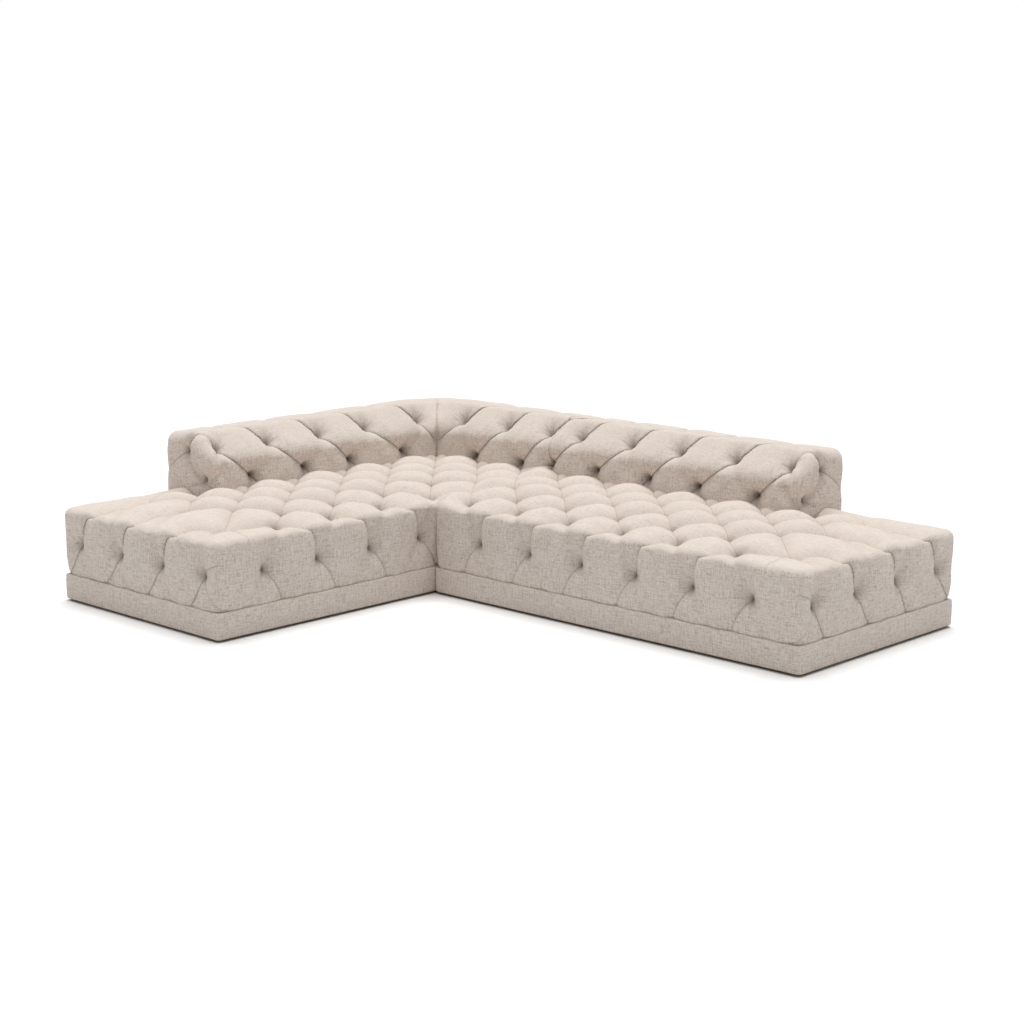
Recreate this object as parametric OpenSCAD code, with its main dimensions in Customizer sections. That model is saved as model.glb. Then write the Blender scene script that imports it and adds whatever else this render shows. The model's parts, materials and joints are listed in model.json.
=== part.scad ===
// L-shaped tufted sofa in two sections, on an upholstered plinth.
// The left section carries the corner; the right section lifts off it.
// +X runs along the right section, +Y towards the back, Z = 0 is the floor.

/* [Sections] */
// Depth of both sections, back to front
section_depth = 1070; // [1000:5:1140]
// Length of the left section, corner included
left_length = 2260; // [2100:5:2420]
// Length of the right section
right_length = 1960; // [1800:5:2120]
// Gap between the two sections
section_gap = 2; // [1:0.5:5]

/* [Plinth] */
// Height of the glides
glide_h = 10; // [6:1:14]
// Radius of a glide
glide_r = 15; // [11:0.5:20]
// Radius of a glide's nail
glide_nail_r = 1.6; // [1.2:0.1:2.4]
// Length of a glide's nail
glide_nail_l = 20; // [14:1:30]
// Height of the plinth
plinth_h = 108; // [100:2:130]
// Thickness of the plinth's upright boards
plinth_board_t = 22; // [20:1:26]
// Thickness of the plinth's flat top boards
plinth_top_t = 18; // [12:1:22]
// Width of the plinth's flat top boards
plinth_top_w = 80; // [75:1:110]
// Thickness of the plinth's cover, wadding included
plinth_cover_t = 4; // [3:0.5:5]
// Radius of the plinth's upright corners
plinth_corner_r = 22; // [14:1:25]
// Side of the square blocks inside the plinth
block_side = 60; // [50:2:80]
// Thickness of the dust cover
dust_t = 1.2; // [0.8:0.1:2]
// How far the dust cover stays inside the plinth's face
dust_inset = 14; // [8:1:24]

/* [Seat] */
// Height of the seat from the plinth to its crown
seat_h = 292; // [270:2:320]
// How far the seat's sides draw in above the plinth
seat_draw_in = 14; // [8:1:20]
// Height of the round edge between seat top and sides
edge_h = 60; // [45:1:75]
// Wished spacing of the tufts along a section
tuft_pitch = 290; // [260:5:330]
// Distance of the first tuft from a section's end
tuft_margin = 255; // [230:5:280]
// Distance of the outer tuft rows from the front and the rear
row_margin = 110; // [90:5:130]
// Drop of the side tufts below the crown
side_tuft_drop = 155; // [130:5:175]
// Depth of the folds in the seat's top
fold_depth = 16; // [8:1:22]
// Further depth of a tuft in the seat's top
tuft_depth = 20; // [8:1:28]
// Depth of the folds in the seat's sides
side_fold_depth = 9; // [4:1:14]
// Further depth of a tuft in the seat's sides
side_tuft_depth = 16; // [8:1:20]
// Padding between a section's face and its rails
side_pad = 44; // [42:1:60]
// Padding between the crown and the foam
top_pad = 60; // [56:1:70]

/* [Seat frame] */
// Thickness of the rails
rail_t = 25; // [20:1:32]
// Height of the outer rails
rail_h = 110; // [100:2:120]
// Height of the cross rails
cross_rail_h = 85; // [60:5:95]
// Side of the corner braces
brace_side = 70; // [50:5:90]
// Wished spacing of the springs
spring_pitch = 150; // [130:5:170]
// Thickness of the spring wire
wire_t = 4; // [3:0.2:5]
// Width of a spring
spring_w = 50; // [40:2:60]
// Wished spacing of a spring's bends
bend_pitch = 48; // [36:2:70]
// Width of a spring clip, along the rail
clip_w = 20; // [14:1:30]
// Length of a spring clip, across the rail
clip_l = 16; // [12:1:20]
// Thickness of a spring clip's walls
clip_t = 2; // [1.5:0.1:3]
// Radius of the tie wires across the springs
tie_wire_r = 1.5; // [1:0.1:2.5]
// Thickness of the deck pad
deck_t = 6; // [4:0.5:10]
// Radius of the holes in the foam
foam_hole_r = 8; // [6:0.5:12]
// Radius of a tuft's twine
twine_r = 1.5; // [1:0.1:2.5]
// Radius of a tuft's washer
washer_r = 14; // [12.5:0.5:18]
// Thickness of a tuft's washer
washer_t = 2; // [1:0.2:3]

/* [Back] */
// Depth of the back, at its crown
back_depth = 335; // [310:5:350]
// Height of the back above the seat's crown
back_h = 285; // [270:5:320]
// How far the back presses the deck below the crown
back_sink = 25; // [15:1:30]
// Length of the left back, from the corner
left_back_length = 1705; // [1600:5:1780]
// Length of the right back
right_back_length = 1406; // [1300:5:1480]
// Wished spacing of the back's tufts
back_pitch = 298; // [270:4:330]
// Distance of a back's last upper tuft from its end
back_tuft_end = 90; // [70:5:110]
// Distance of the corner back's last upper tuft from the joint
joint_tuft_end = 57; // [45:2:90]
// Depth of a tuft in the back
back_tuft_depth = 30; // [20:1:34]
// Depth of the folds in the back
back_fold_depth = 18; // [10:1:20]
// Width of a back post
post_w = 40; // [30:2:50]
// Thickness of a back post
post_t = 25; // [20:1:30]
// Height of the back's rails
back_rail_h = 30; // [24:1:40]
// Depth of the padding over the back's frame
back_pad = 125; // [120:1:135]
// Height of the padding over the back's frame
back_top_pad = 75; // [70:1:85]
// Height of a webbing strap
strap_h = 50; // [40:2:60]
// Thickness of a webbing strap
strap_t = 2; // [1.5:0.1:3]

/* [Connectors] */
// Thickness of the connectors' steel
steel_t = 2.5; // [2:0.1:3]
// Width of a tongue
tongue_w = 45; // [36:1:55]
// Height of a tongue's plate
tongue_h = 55; // [50:1:56]
// How deep a tongue sits in its receiver
tongue_engage = 30; // [20:1:34]
// Clearance on each side of a tongue
tongue_clear = 2.2; // [1.9:0.1:2.4]
// Depth of the pocket behind a tongue's plate
pocket_depth = 9; // [8.5:0.1:10]
// Height of a connector above the plinth's lower edge
connector_z = 30; // [26:1:34]

/* [Fasteners] */
// Radius of a screw's shank
screw_r = 2; // [1.5:0.1:2.6]
// Radius of a screw's head
screw_head_r = 4; // [3.2:0.1:4.5]
// Height of a screw's head
screw_head_h = 2; // [1.4:0.1:2.4]
// Length of a connector's screw
short_screw_l = 12; // [10:1:13]
// Length of a post's screw
long_screw_l = 42; // [36:1:45]

/* [Fits] */
// Clearance between pieces that lie on each other
fit_gap = 0.3; // [0.2:0.05:0.4]
// Clearance round a screw or a nail
bore_gap = 0.1; // [0.05:0.01:0.2]

/* [Hidden] */
$fn = 48;
overrun = section_gap;
total_w = section_depth + section_gap + right_length;
right_x = section_depth + section_gap;

// Heights from the floor upwards
plinth_top_z = glide_h + plinth_h;
board_h = plinth_h - plinth_top_t;
crown_z = plinth_top_z + seat_h;
spring_z = plinth_top_z + rail_h;
tie_z = spring_z + wire_t + tie_wire_r;
deck_z = tie_z + tie_wire_r;
foam_z = deck_z + deck_t;
foam_top_z = crown_z - top_pad;
back_z = crown_z - back_sink;
back_top_z = crown_z + back_h;
post_top_z = back_top_z - back_top_pad - back_rail_h;
side_tuft_z = crown_z - side_tuft_drop;

// Places across a section
rail_in = side_pad + rail_t;
post_in = rail_in + post_t;
soft_start = post_in + fit_gap;
back_inner = back_depth - back_pad;
block_mid = plinth_cover_t + plinth_board_t + block_side / 2;
board_corner_r = plinth_corner_r - plinth_cover_t;
rail_corner_r = rail_t / 5;

// Lattice of the seat's tufts: rows across, columns along
tuft_rows = 6;
row_pitch = (section_depth - 2 * row_margin) / tuft_rows;
fold_shape_share = 0.42;
tuft_spread_share = 0.17;
fold_fade_share = 0.5;

// Connector places, as shares of the depth, and across the joint
connector_shares = [0.25, 0.78];
slot_t = steel_t + 2 * tongue_clear;
receiver_h = tongue_engage + steel_t;
receiver_w = tongue_w + 2 * (tongue_clear + steel_t);
plate_screw_share = 0.28;
window_w = receiver_w + 2 * tongue_clear;

// Places of the corner back's posts, as shares of its frame's length
corner_post_shares = [0.1, 0.4, 0.7];

// Places of the sections
// Each section is drawn with its length along X, its rear on Y = 0 and its
// front on +Y. The left one is turned, the right one and the corner mirrored.

module to_frame() {
    translate([-total_w / 2, left_length / 2, 0]) children();
}

module place_left() {
    to_frame() rotate([0, 0, -90]) children();
}

module place_corner() {
    to_frame() mirror([0, 1, 0]) children();
}

module place_right() {
    to_frame() translate([right_x, 0, 0]) mirror([0, 1, 0]) children();
}

// Small shapes

module bar(low, high) {
    translate(low) cube(high - low);
}

module rounded_plate(size, r) {
    translate([r, 0]) square([size.x - 2 * r, size.y]);
    translate([0, r]) square([size.x, size.y - 2 * r]);
    for (x = [r, size.x - r], y = [r, size.y - r]) translate([x, y]) circle(r);
}

// A flat ring of boards, its outside `inset` from the section's faces, and its
// outer corners rounded to `r`
module board_ring(length, inset, width, z, h, r) {
    translate([0, 0, z]) linear_extrude(h) difference() {
        translate([inset, inset])
            rounded_plate([length - 2 * inset, section_depth - 2 * inset], r);
        translate([inset + width, inset + width])
            square([length - 2 * (inset + width), section_depth - 2 * (inset + width)]);
    }
}

// Plinth

function block_count(length) = max(3, round(length / (section_depth / 2 + block_side)));

function block_places(length) = [
    for (i = [0:block_count(length) - 1], y = [block_mid, section_depth - block_mid])
        [block_mid + i * (length - 2 * block_mid) / (block_count(length) - 1), y]
];

module glides(length) {
    for (p = block_places(length)) translate(p) {
        cylinder(r = glide_r, h = glide_h);
        cylinder(r = glide_nail_r, h = glide_h + glide_nail_l);
    }
}

module dust_cover(length) {
    translate([0, 0, glide_h - dust_t]) difference() {
        translate([dust_inset, dust_inset])
            cube([length - 2 * dust_inset, section_depth - 2 * dust_inset, dust_t]);
        for (p = block_places(length)) translate([p.x, p.y, -overrun])
            cylinder(r = glide_r + fit_gap, h = dust_t + 2 * overrun);
    }
}

module plinth_boards(length) {
    board_ring(length, plinth_cover_t, plinth_board_t, glide_h, board_h, board_corner_r);
}

module plinth_blocks(length) {
    for (p = block_places(length)) translate([p.x, p.y, glide_h]) difference() {
        translate([-block_side / 2, -block_side / 2, 0])
            cube([block_side, block_side, board_h]);
        translate([0, 0, -overrun])
            cylinder(r = glide_nail_r + bore_gap, h = glide_nail_l + overrun + bore_gap);
    }
}

module plinth_top(length) {
    board_ring(length, plinth_cover_t, plinth_top_w, glide_h + board_h, plinth_top_t,
               board_corner_r);
}

module plinth_cover(length) {
    inner = 2 * plinth_cover_t;
    translate([0, 0, glide_h]) linear_extrude(plinth_h) difference() {
        rounded_plate([length, section_depth], plinth_corner_r);
        translate([plinth_cover_t, plinth_cover_t])
            rounded_plate([length - inner, section_depth - inner], board_corner_r);
    }
}

// Seat frame

function spring_count(length) = round((length - 2 * rail_in) / spring_pitch);
function spring_step(length) = (length - 2 * rail_in) / spring_count(length);
function gap_x(length, i) = rail_in + i * spring_step(length);
function spring_x(length, i) = gap_x(length, i + 1 / 2);

module seat_rails(length) {
    board_ring(length, side_pad, rail_t, plinth_top_z, rail_h, rail_corner_r);
}

module cross_rails(length) {
    n = spring_count(length);
    for (i = [2:3:n - 2])
        bar([spring_x(length, i) - rail_t / 2, rail_in, plinth_top_z],
            [spring_x(length, i) + rail_t / 2, section_depth - rail_in,
             plinth_top_z + cross_rail_h]);
}

module corner_braces(length) {
    for (x = [0, 1], y = [0, 1])
        translate([x ? length - rail_in : rail_in, y ? section_depth - rail_in : rail_in,
                   plinth_top_z])
            mirror([x, 0, 0]) mirror([0, y, 0]) linear_extrude(cross_rail_h)
                polygon([[0, 0], [brace_side, 0], [0, brace_side]]);
}

// Centre line of a spring: bars across it, joined at one side and the other
spring_run = section_depth - 2 * side_pad - rail_t;
bend_count = 2 * round(spring_run / bend_pitch / 2);
bend_step = spring_run / bend_count;
bend_half = (spring_w - wire_t) / 2;
spring_line = [
    for (i = [0:bend_count], side = i % 2 == 0 ? [-1, 1] : [1, -1])
        [side * bend_half, i * bend_step]
];

function left_normal(line, k) =
    let (d = (line[k + 1] - line[k]) / norm(line[k + 1] - line[k])) [-d.y, d.x];

function side_step(line, k) =
    (k > 0 ? left_normal(line, k - 1) : [0, 0])
    + (k < len(line) - 1 ? left_normal(line, k) : [0, 0]);

module spring_outline() {
    last = len(spring_line) - 1;
    half = wire_t / 2;
    polygon(concat(
        [for (k = [0:last]) spring_line[k] + half * side_step(spring_line, k)],
        [for (k = [last:-1:0]) spring_line[k] - half * side_step(spring_line, k)]));
}

module springs(length) {
    for (i = [0:spring_count(length) - 1])
        translate([spring_x(length, i), side_pad + rail_t / 2, spring_z])
            linear_extrude(wire_t) spring_outline();
}

module spring_clips(length) {
    tunnel = wire_t + 2 * fit_gap;
    for (i = [0:spring_count(length) - 1], y = [side_pad + rail_t / 2,
                                                section_depth - side_pad - rail_t / 2])
        translate([spring_x(length, i), y, spring_z]) difference() {
            translate([-clip_w / 2, -clip_l / 2, 0])
                cube([clip_w, clip_l, wire_t + fit_gap + clip_t]);
            translate([-clip_w / 2 - overrun, -tunnel / 2, -overrun])
                cube([clip_w + 2 * overrun, tunnel, wire_t + fit_gap + overrun]);
        }
}

module spring_ties(length) {
    for (share = [1 / 3, 2 / 3])
        translate([soft_start, section_depth * share, tie_z]) rotate([0, 90, 0])
            cylinder(r = tie_wire_r, h = length - 2 * soft_start);
}

// The soft slabs start clear of the posts: always at the rear, and at the
// corner end too on the section that carries the corner
module soft_slab(length, start_x, z, h) {
    bar([start_x, soft_start, z],
        [length - side_pad - fit_gap, section_depth - side_pad - fit_gap, z + h]);
}

module deck_pad(length, start_x) {
    soft_slab(length, start_x, deck_z, deck_t);
}

// Places of the seat's tufts that show, clear of the back
function tuft_count(length) = round((length - 2 * tuft_margin) / tuft_pitch) + 1;
function tuft_step(length) = (length - 2 * tuft_margin) / (tuft_count(length) - 1);

function tuft_places(length, clear_x, back_end) = [
    for (j = [0:tuft_rows], k = [0:tuft_count(length) - 2 + j % 2])
        let (x = tuft_margin + tuft_step(length) * (k + (1 - j % 2) / 2),
             y = section_depth - row_margin - row_pitch * j)
        if (x > clear_x + washer_r && (y > back_depth + washer_r || x > back_end + washer_r)
            && y > soft_start + washer_r) [x, y]
];

module seat_foam(length, start_x, clear_x, back_end) {
    difference() {
        soft_slab(length, start_x, foam_z, foam_top_z - foam_z - fit_gap);
        for (p = tuft_places(length, clear_x, back_end)) translate([p.x, p.y, foam_z]) {
            translate([0, 0, -overrun])
                cylinder(r = foam_hole_r, h = foam_top_z - foam_z + 2 * overrun);
            translate([0, 0, -overrun])
                cylinder(r = washer_r + fit_gap, h = washer_t + fit_gap + overrun);
        }
    }
}

module tuft_ties(length, clear_x, back_end) {
    for (p = tuft_places(length, clear_x, back_end)) translate([p.x, p.y, foam_z]) {
        cylinder(r = washer_r, h = washer_t);
        cylinder(r = twine_r, h = foam_top_z - foam_z - fit_gap);
    }
}

// Tufted surfaces
// u counts tufts along a piece and v counts rows. Folds run where a or b is
// whole, tufts lie where both are, and the crown of a puff lies between them.

function fold_a(u, v) = u + (v + 1) / 2;
function fold_b(u, v) = u - (v + 1) / 2;
function from_whole(a) = a - round(a);

function puff_share(u, v) =
    pow(abs(sin(180 * fold_a(u, v)) * sin(180 * fold_b(u, v))), fold_shape_share);

function tuft_share(u, v) =
    exp(-(pow(from_whole(fold_a(u, v)), 2) + pow(from_whole(fold_b(u, v)), 2))
        / pow(tuft_spread_share, 2));

function smooth(t) = let (c = min(1, max(0, t))) c * c * (3 - 2 * c);

// How far the surface lies below its crown
function fold_drop(u, v, fold, tuft) = fold * (1 - puff_share(u, v)) + tuft * tuft_share(u, v);

// Grid lines that fit between a face's end and its first tuft
function grid_extra(margin, step) = floor((margin - step / 12) / (step / 4));

// Grid lines across a face: its ends, and quarters of the tufts' spacing
function grid_lines(span, margin, step, count) =
    let (quarter = step / 4, extra = grid_extra(margin, step))
    concat([0],
           [for (i = [-extra:4 * count + extra]) margin + i * quarter],
           [span]);

// Height of the seat's top. `back_end` is where the back stops along it, and
// `corner` is the depth of the corner back across it.
function seat_top_z(length, corner, back_end, x, y) =
    let (u = (x - tuft_margin) / tuft_step(length),
         v = (section_depth - row_margin - y) / row_pitch,
         edge = min(x, length - x, y, section_depth - y),
         // The deck stays pressed for one grid step past the back's foot
         step_x = tuft_step(length) / 4,
         reach_x = corner > 0 ? corner + step_x : 0,
         reach_y = back_depth + row_pitch / 2,
         pressed = max(smooth((reach_x + row_margin - x) / row_margin),
                       smooth((reach_y + row_margin - y) / row_margin)
                       * smooth((back_end + step_x + row_margin / 2 - x)
                                / (row_margin / 2))),
         calm = smooth(edge / row_margin) * (1 - pressed))
    crown_z - back_sink * pressed
    - (1 - calm) * fold_depth * (1 - pressed) / 2
    - calm * fold_drop(u, v, fold_depth, tuft_depth);

// Levels of the seat's sides below its top: how far each draws in, its height,
// and how strongly it is tufted
edge_inset = edge_h / 4;
side_levels = [
    [0, crown_z - edge_h, 0.3],
    [0, side_tuft_z, 1],
    [seat_draw_in / 3, (side_tuft_z + plinth_top_z) / 2, fold_fade_share],
    [seat_draw_in, plinth_top_z, 0]
];

// Draw-in of a side tuft at one place: `along` counts tufts on that side
function side_drop(along, strength) =
    strength * (side_fold_depth * (1 - pow(abs(sin(180 * along)), fold_shape_share))
                + side_tuft_depth * exp(-pow(from_whole(along) / tuft_spread_share, 2)));

// Is the seat's side tufted at this place? The rear and the joint are plain.
function front_tufts(x, plain_to) = x > plain_to ? 1 : 0;

module tufted_seat(length, corner, back_end, plain_to) {
    xs = grid_lines(length, tuft_margin, tuft_step(length), tuft_count(length) - 1);
    ys = grid_lines(section_depth, row_margin, 2 * row_pitch, tuft_rows / 2);
    nx = len(xs) - 1;
    ny = len(ys) - 1;
    tuft_i = 1 + grid_extra(tuft_margin, tuft_step(length));
    tuft_j = 1 + grid_extra(row_margin, 2 * row_pitch) + 2 * tuft_rows;
    inset_x = function(i) i == 0 ? edge_inset : i == nx ? length - edge_inset : xs[i];
    inset_y = function(j) j == 0 ? edge_inset : j == ny ? section_depth - edge_inset : ys[j];
    top = [for (i = [0:nx], j = [0:ny])
        let (edge = i == 0 || i == nx || j == 0 || j == ny)
        [inset_x(i), inset_y(j),
         seat_top_z(length, corner, back_end, xs[i], ys[j]) - (edge ? edge_inset / 2 : 0)]];
    rim = concat([for (i = [0:nx - 1]) [i, 0]], [for (j = [0:ny - 1]) [nx, j]],
                 [for (i = [nx:-1:1]) [i, ny]], [for (j = [ny:-1:1]) [0, j]]);
    m = len(rim);
    rings = [for (level = side_levels, p = rim)
        let (x = xs[p.x], y = ys[p.y],
             row = (section_depth - row_margin - y) / row_pitch / 2,
             column = (x - tuft_margin) / tuft_step(length),
             on_front = p.y == ny && p.x > 0 && p.x < nx,
             on_end = p.x == nx && p.y > 0 && p.y < ny,
             drop = on_front ? front_tufts(x, plain_to) * side_drop(column, level[2])
                  : on_end ? side_drop(row, level[2]) : 0,
             round_in = (p.x == 0 || p.x == nx) && (p.y == 0 || p.y == ny)
                 ? seat_draw_in : 0,
             in = level[0] + drop + round_in)
        [p.x == 0 ? in : p.x == nx ? length - in : x,
         p.y == 0 ? in : p.y == ny ? section_depth - in : y,
         level[1]]];
    t = len(top);
    rim_index = function(r, k) r == 0
        ? rim[k % m].x * (ny + 1) + rim[k % m].y
        : t + (r - 1) * m + k % m;
    levels = len(side_levels);
    // The hollow under the padding has four corners, below and above
    hollow = side_pad - fit_gap;
    corners = [[hollow, hollow], [length - hollow, hollow],
               [length - hollow, section_depth - hollow], [hollow, section_depth - hollow]];
    low = t + levels * m;
    high = low + 4;
    side_starts = [0, nx, nx + ny, 2 * nx + ny, m];
    points = concat(top, rings, [for (c = corners) [c.x, c.y, plinth_top_z]],
                    [for (c = corners) [c.x, c.y, foam_top_z]]);
    // The diagonal of each cell follows the folds, which cross at the tufts
    faces = concat(
        [for (i = [0:nx - 1], j = [0:ny - 1], half = [0, 1])
            let (a = i * (ny + 1) + j, b = a + ny + 1, c = b + 1, d = a + 1,
                 rising = (i - tuft_i + j - tuft_j) % 2 == 0)
            rising ? (half == 0 ? [a, c, b] : [a, d, c])
                   : (half == 0 ? [a, d, b] : [b, d, c])],
        [for (r = [0:levels - 1], k = [0:m - 1], half = [0, 1])
            half == 0 ? [rim_index(r + 1, k), rim_index(r, k), rim_index(r, k + 1)]
                      : [rim_index(r + 1, k), rim_index(r, k + 1), rim_index(r + 1, k + 1)]],
        [for (q = [0:3], k = [side_starts[q]:side_starts[q + 1] - 1])
            [rim_index(levels, k), rim_index(levels, k + 1), low + q]],
        [for (q = [0:3])
            [rim_index(levels, side_starts[q + 1]), low + (q + 1) % 4, low + q]],
        [for (q = [0:3], half = [0, 1])
            half == 0 ? [low + q, low + (q + 1) % 4, high + (q + 1) % 4]
                      : [low + q, high + (q + 1) % 4, high + q]],
        [[high, high + 1, high + 2], [high, high + 2, high + 3]]);
    polyhedron(points, faces, convexity = 8);
}

// The seat's cover with its padding, hollow over the frame and the foam, and
// slit where the back's posts rise through it
module seat_cover(length, corner, back_end, plain_to, posts, cross_posts) {
    difference() {
        tufted_seat(length, corner, back_end, plain_to);
        for (a = posts) post_slit(a);
        for (a = cross_posts) mirror([1, -1, 0]) post_slit(a);
    }
}

module post_slit(a) {
    bar([a - post_w / 2 - fit_gap, rail_in - fit_gap, foam_top_z - overrun],
        [a + post_w / 2 + fit_gap, post_in + fit_gap, crown_z + overrun]);
}

// Back

// A back's frame runs from `start` to `end` along it
mitred_start = back_depth + side_pad;
joint_end = section_depth - side_pad / 2;
left_back_span = [mitred_start, left_back_length - side_pad];
corner_back_span = [mitred_start, joint_end];
right_back_span = [side_pad / 2, right_back_length - side_pad];

// Posts stand between springs, every third gap, inside the back's frame
function first_gap(length, span) =
    max(1, ceil((span[0] + post_w / 2 - rail_in) / spring_step(length)));

function post_places(length, span) = [
    for (i = [first_gap(length, span):3:spring_count(length) - 1])
        let (a = gap_x(length, i))
        if (a + post_w / 2 < span[1]) a
];

module back_posts(places) {
    for (a = places) difference() {
        bar([a - post_w / 2, rail_in, plinth_top_z + fit_gap],
            [a + post_w / 2, post_in, post_top_z]);
        for (z = post_screw_heights) post_screw_bore(a, z, 0);
    }
}

post_screw_share = 0.25;
post_screw_heights = [plinth_top_z + rail_h * post_screw_share,
                      plinth_top_z + rail_h * (1 - post_screw_share)];

module post_screw_bore(a, z, recess) {
    translate([a, side_pad - overrun, z]) rotate([-90, 0, 0])
        cylinder(r = screw_r + bore_gap, h = overrun + long_screw_l + bore_gap);
    if (recess > 0) translate([a, side_pad - overrun, z]) rotate([-90, 0, 0])
        cylinder(r = screw_head_r + bore_gap, h = overrun + screw_head_h);
}

module back_rails(span) {
    bar([span[0], side_pad, post_top_z],
        [span[1], post_in, post_top_z + back_rail_h - fit_gap]);
    bar([span[0], post_in, back_z + fit_gap],
        [span[1], post_in + post_t, back_z + back_rail_h]);
}

strap_shares = [0.32, 0.58, 0.84];

module back_webbing(places) {
    first = places[0] - post_w / 2;
    last = places[len(places) - 1] + post_w / 2;
    high = post_top_z + back_rail_h - back_z;
    for (share = strap_shares)
        bar([first, post_in, back_z + high * share - strap_h / 2],
            [last, post_in + strap_t, back_z + high * share + strap_h / 2]);
}

module back_foam(span) {
    bar([span[0], post_in + strap_t + fit_gap, back_z + back_rail_h + fit_gap],
        [span[1], back_inner - fit_gap, post_top_z + back_rail_h - fit_gap]);
}

// Outline of a back across its depth, from the rear foot over the top to the
// front foot. Each point is [depth share, height share, row of tufts].
back_profile_shares = [
    [0.02, 0, -9], [0, 0.35, -9], [0, 0.70, -9], [0.035, 0.86, -9], [0.15, 0.97, -9],
    [0.36, 1, 2], [0.62, 0.965, 1.5], [0.84, 0.81, 1], [0.95, 0.60, 0.5],
    [0.985, 0.355, 0], [1, 0.16, -0.5], [0.97, 0, -9]
];
upper_tuft_point = 7;

function back_count(length, tuft_end) =
    max(1, round((length - tuft_end - back_pitch / 2) / back_pitch));
function back_step(length, tuft_end) =
    (length - tuft_end - back_pitch / 2) / back_count(length, tuft_end);

// How far a point of the back lies inside its crown, square to its surface
function back_drop(length, tuft_end, a, row) = row < -1 ? 0
    : let (u = (a - (length - tuft_end)) / back_step(length, tuft_end),
           fade = min(smooth((length - a) / (tuft_end / 2)), smooth((2.2 - row) / 0.8)))
      fade * fold_drop(u, row, back_fold_depth, back_tuft_depth);

// A back's block: `mitre` 1 cuts its start along the corner's diagonal, and
// `rounded` 1 rounds its free end, whose middle is drawn in by a tuft
module tufted_back(length, mitre, rounded, tuft_end) {
    high = back_top_z - back_z;
    quarter = back_step(length, tuft_end) / 4;
    first = mitre * (back_depth + quarter / 3);
    lines = floor((length - tuft_end - first - mitre * quarter / 3) / quarter);
    lead = mitre == 1 ? 3 : 1;
    straight_start = length - tuft_end - lines * quarter;
    columns = lead + lines + 1;
    rounding = edge_h / 2;
    k = len(back_profile_shares);
    middle = [back_depth / 2, back_z + high / 2];
    // Place along the back of column i, at one depth
    line_at = function(i, depth)
        let (from = mitre == 1 ? depth + fit_gap : 0)
        i < lead ? from + (straight_start - from) * i / lead
                 : i == columns ? length : straight_start + (i - lead) * quarter;
    ring = function(i) [for (share = back_profile_shares)
        let (end = rounded == 1 && i == columns ? 1 : 0,
             nominal = share[0] * back_depth,
             drop = back_drop(length, tuft_end, line_at(i, nominal), share[2]),
             tilt = min(90, max(0, 45 * share[2])),
             y = nominal - drop * cos(tilt),
             z = back_z + share[1] * high - drop * sin(tilt))
        [line_at(i, y), y + end * rounding * (y < middle[0] ? 1 : -1),
         z - end * rounding * share[1]]];
    rounding_ring = [for (p = ring(columns)) [length - rounding / 2,
        p.y + rounding * (p.y < middle[0] ? -1 : 1) * 0.7,
        p.z + rounding * (p.z - back_z) / high * 0.7]];
    rings = concat([for (i = [0:columns - 1]) each ring(i)],
                   rounded == 1 ? rounding_ring : [],
                   ring(columns));
    n = columns + (rounded == 1 ? 1 : 0);
    start = len(rings);
    caps = [[mitre * (middle[0] + fit_gap), middle[0], middle[1]],
            [length - rounded * back_fold_depth, middle[0], middle[1] + rounded * rounding]];
    faces = concat(
        [for (i = [0:n - 1], p = [0:k - 1], half = [0, 1])
            let (q = (p + 1) % k, a = i * k + p, b = i * k + q,
                 c = (i + 1) * k + q, d = (i + 1) * k + p,
                 rising = (i - lead - lines - (p - upper_tuft_point)) % 2 == 0)
            rising ? (half == 0 ? [a, c, d] : [a, b, c])
                   : (half == 0 ? [a, b, d] : [b, c, d])],
        [for (p = [0:k - 1]) [(p + 1) % k, p, start]],
        [for (p = [0:k - 1]) [n * k + p, n * k + (p + 1) % k, start + 1]]);
    polyhedron(concat(rings, caps), faces, convexity = 8);
}

// A back's cover with its padding, hollow over the frame and the foam
module back_cover(length, mitre, rounded, tuft_end, span) {
    difference() {
        tufted_back(length, mitre, rounded, tuft_end);
        bar([span[0] - fit_gap, side_pad - fit_gap, back_z - overrun],
            [span[1] + fit_gap, back_inner, post_top_z + back_rail_h]);
    }
}

// Fasteners and connectors

module post_screws(places) {
    for (a = places, z = post_screw_heights) translate([a, side_pad, z]) rotate([-90, 0, 0]) {
        cylinder(r = screw_head_r, h = screw_head_h);
        cylinder(r = screw_r, h = long_screw_l);
    }
}

// Boards of the joint, measured across it from the left section's face
left_board_face = -plinth_cover_t;
right_board_face = section_gap + plinth_cover_t;
pocket_face = right_board_face + pocket_depth;
tongue_x = left_board_face + steel_t + tongue_clear;
plate_z = glide_h + connector_z;
plate_screw_step = tongue_h * plate_screw_share;

// Drawn with X across the joint and Y along it, and Y = 0 at the connector
module receiver() {
    high = receiver_h;
    wall_y = tongue_w / 2 + tongue_clear;
    difference() {
        bar([left_board_face, -wall_y - steel_t, plate_z],
            [left_board_face + slot_t + 2 * steel_t, wall_y + steel_t, plate_z + high]);
        bar([left_board_face + steel_t, -wall_y, plate_z - overrun],
            [left_board_face + steel_t + slot_t, wall_y, plate_z + high + overrun]);
    }
    difference() {
        bar([left_board_face, -wall_y - steel_t, plate_z + high],
            [left_board_face + steel_t, wall_y + steel_t, plate_z + tongue_h]);
        for (side = [-1, 1]) plate_bore(left_board_face, side, plate_z + receiver_screw_up);
    }
}

receiver_screw_up = (receiver_h + tongue_h) / 2;

module plate_bore(face, side, z) {
    translate([face - overrun - short_screw_l, side * tongue_w / 4, z]) rotate([0, 90, 0])
        cylinder(r = screw_r + bore_gap, h = 2 * (overrun + short_screw_l) + steel_t);
}

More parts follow.
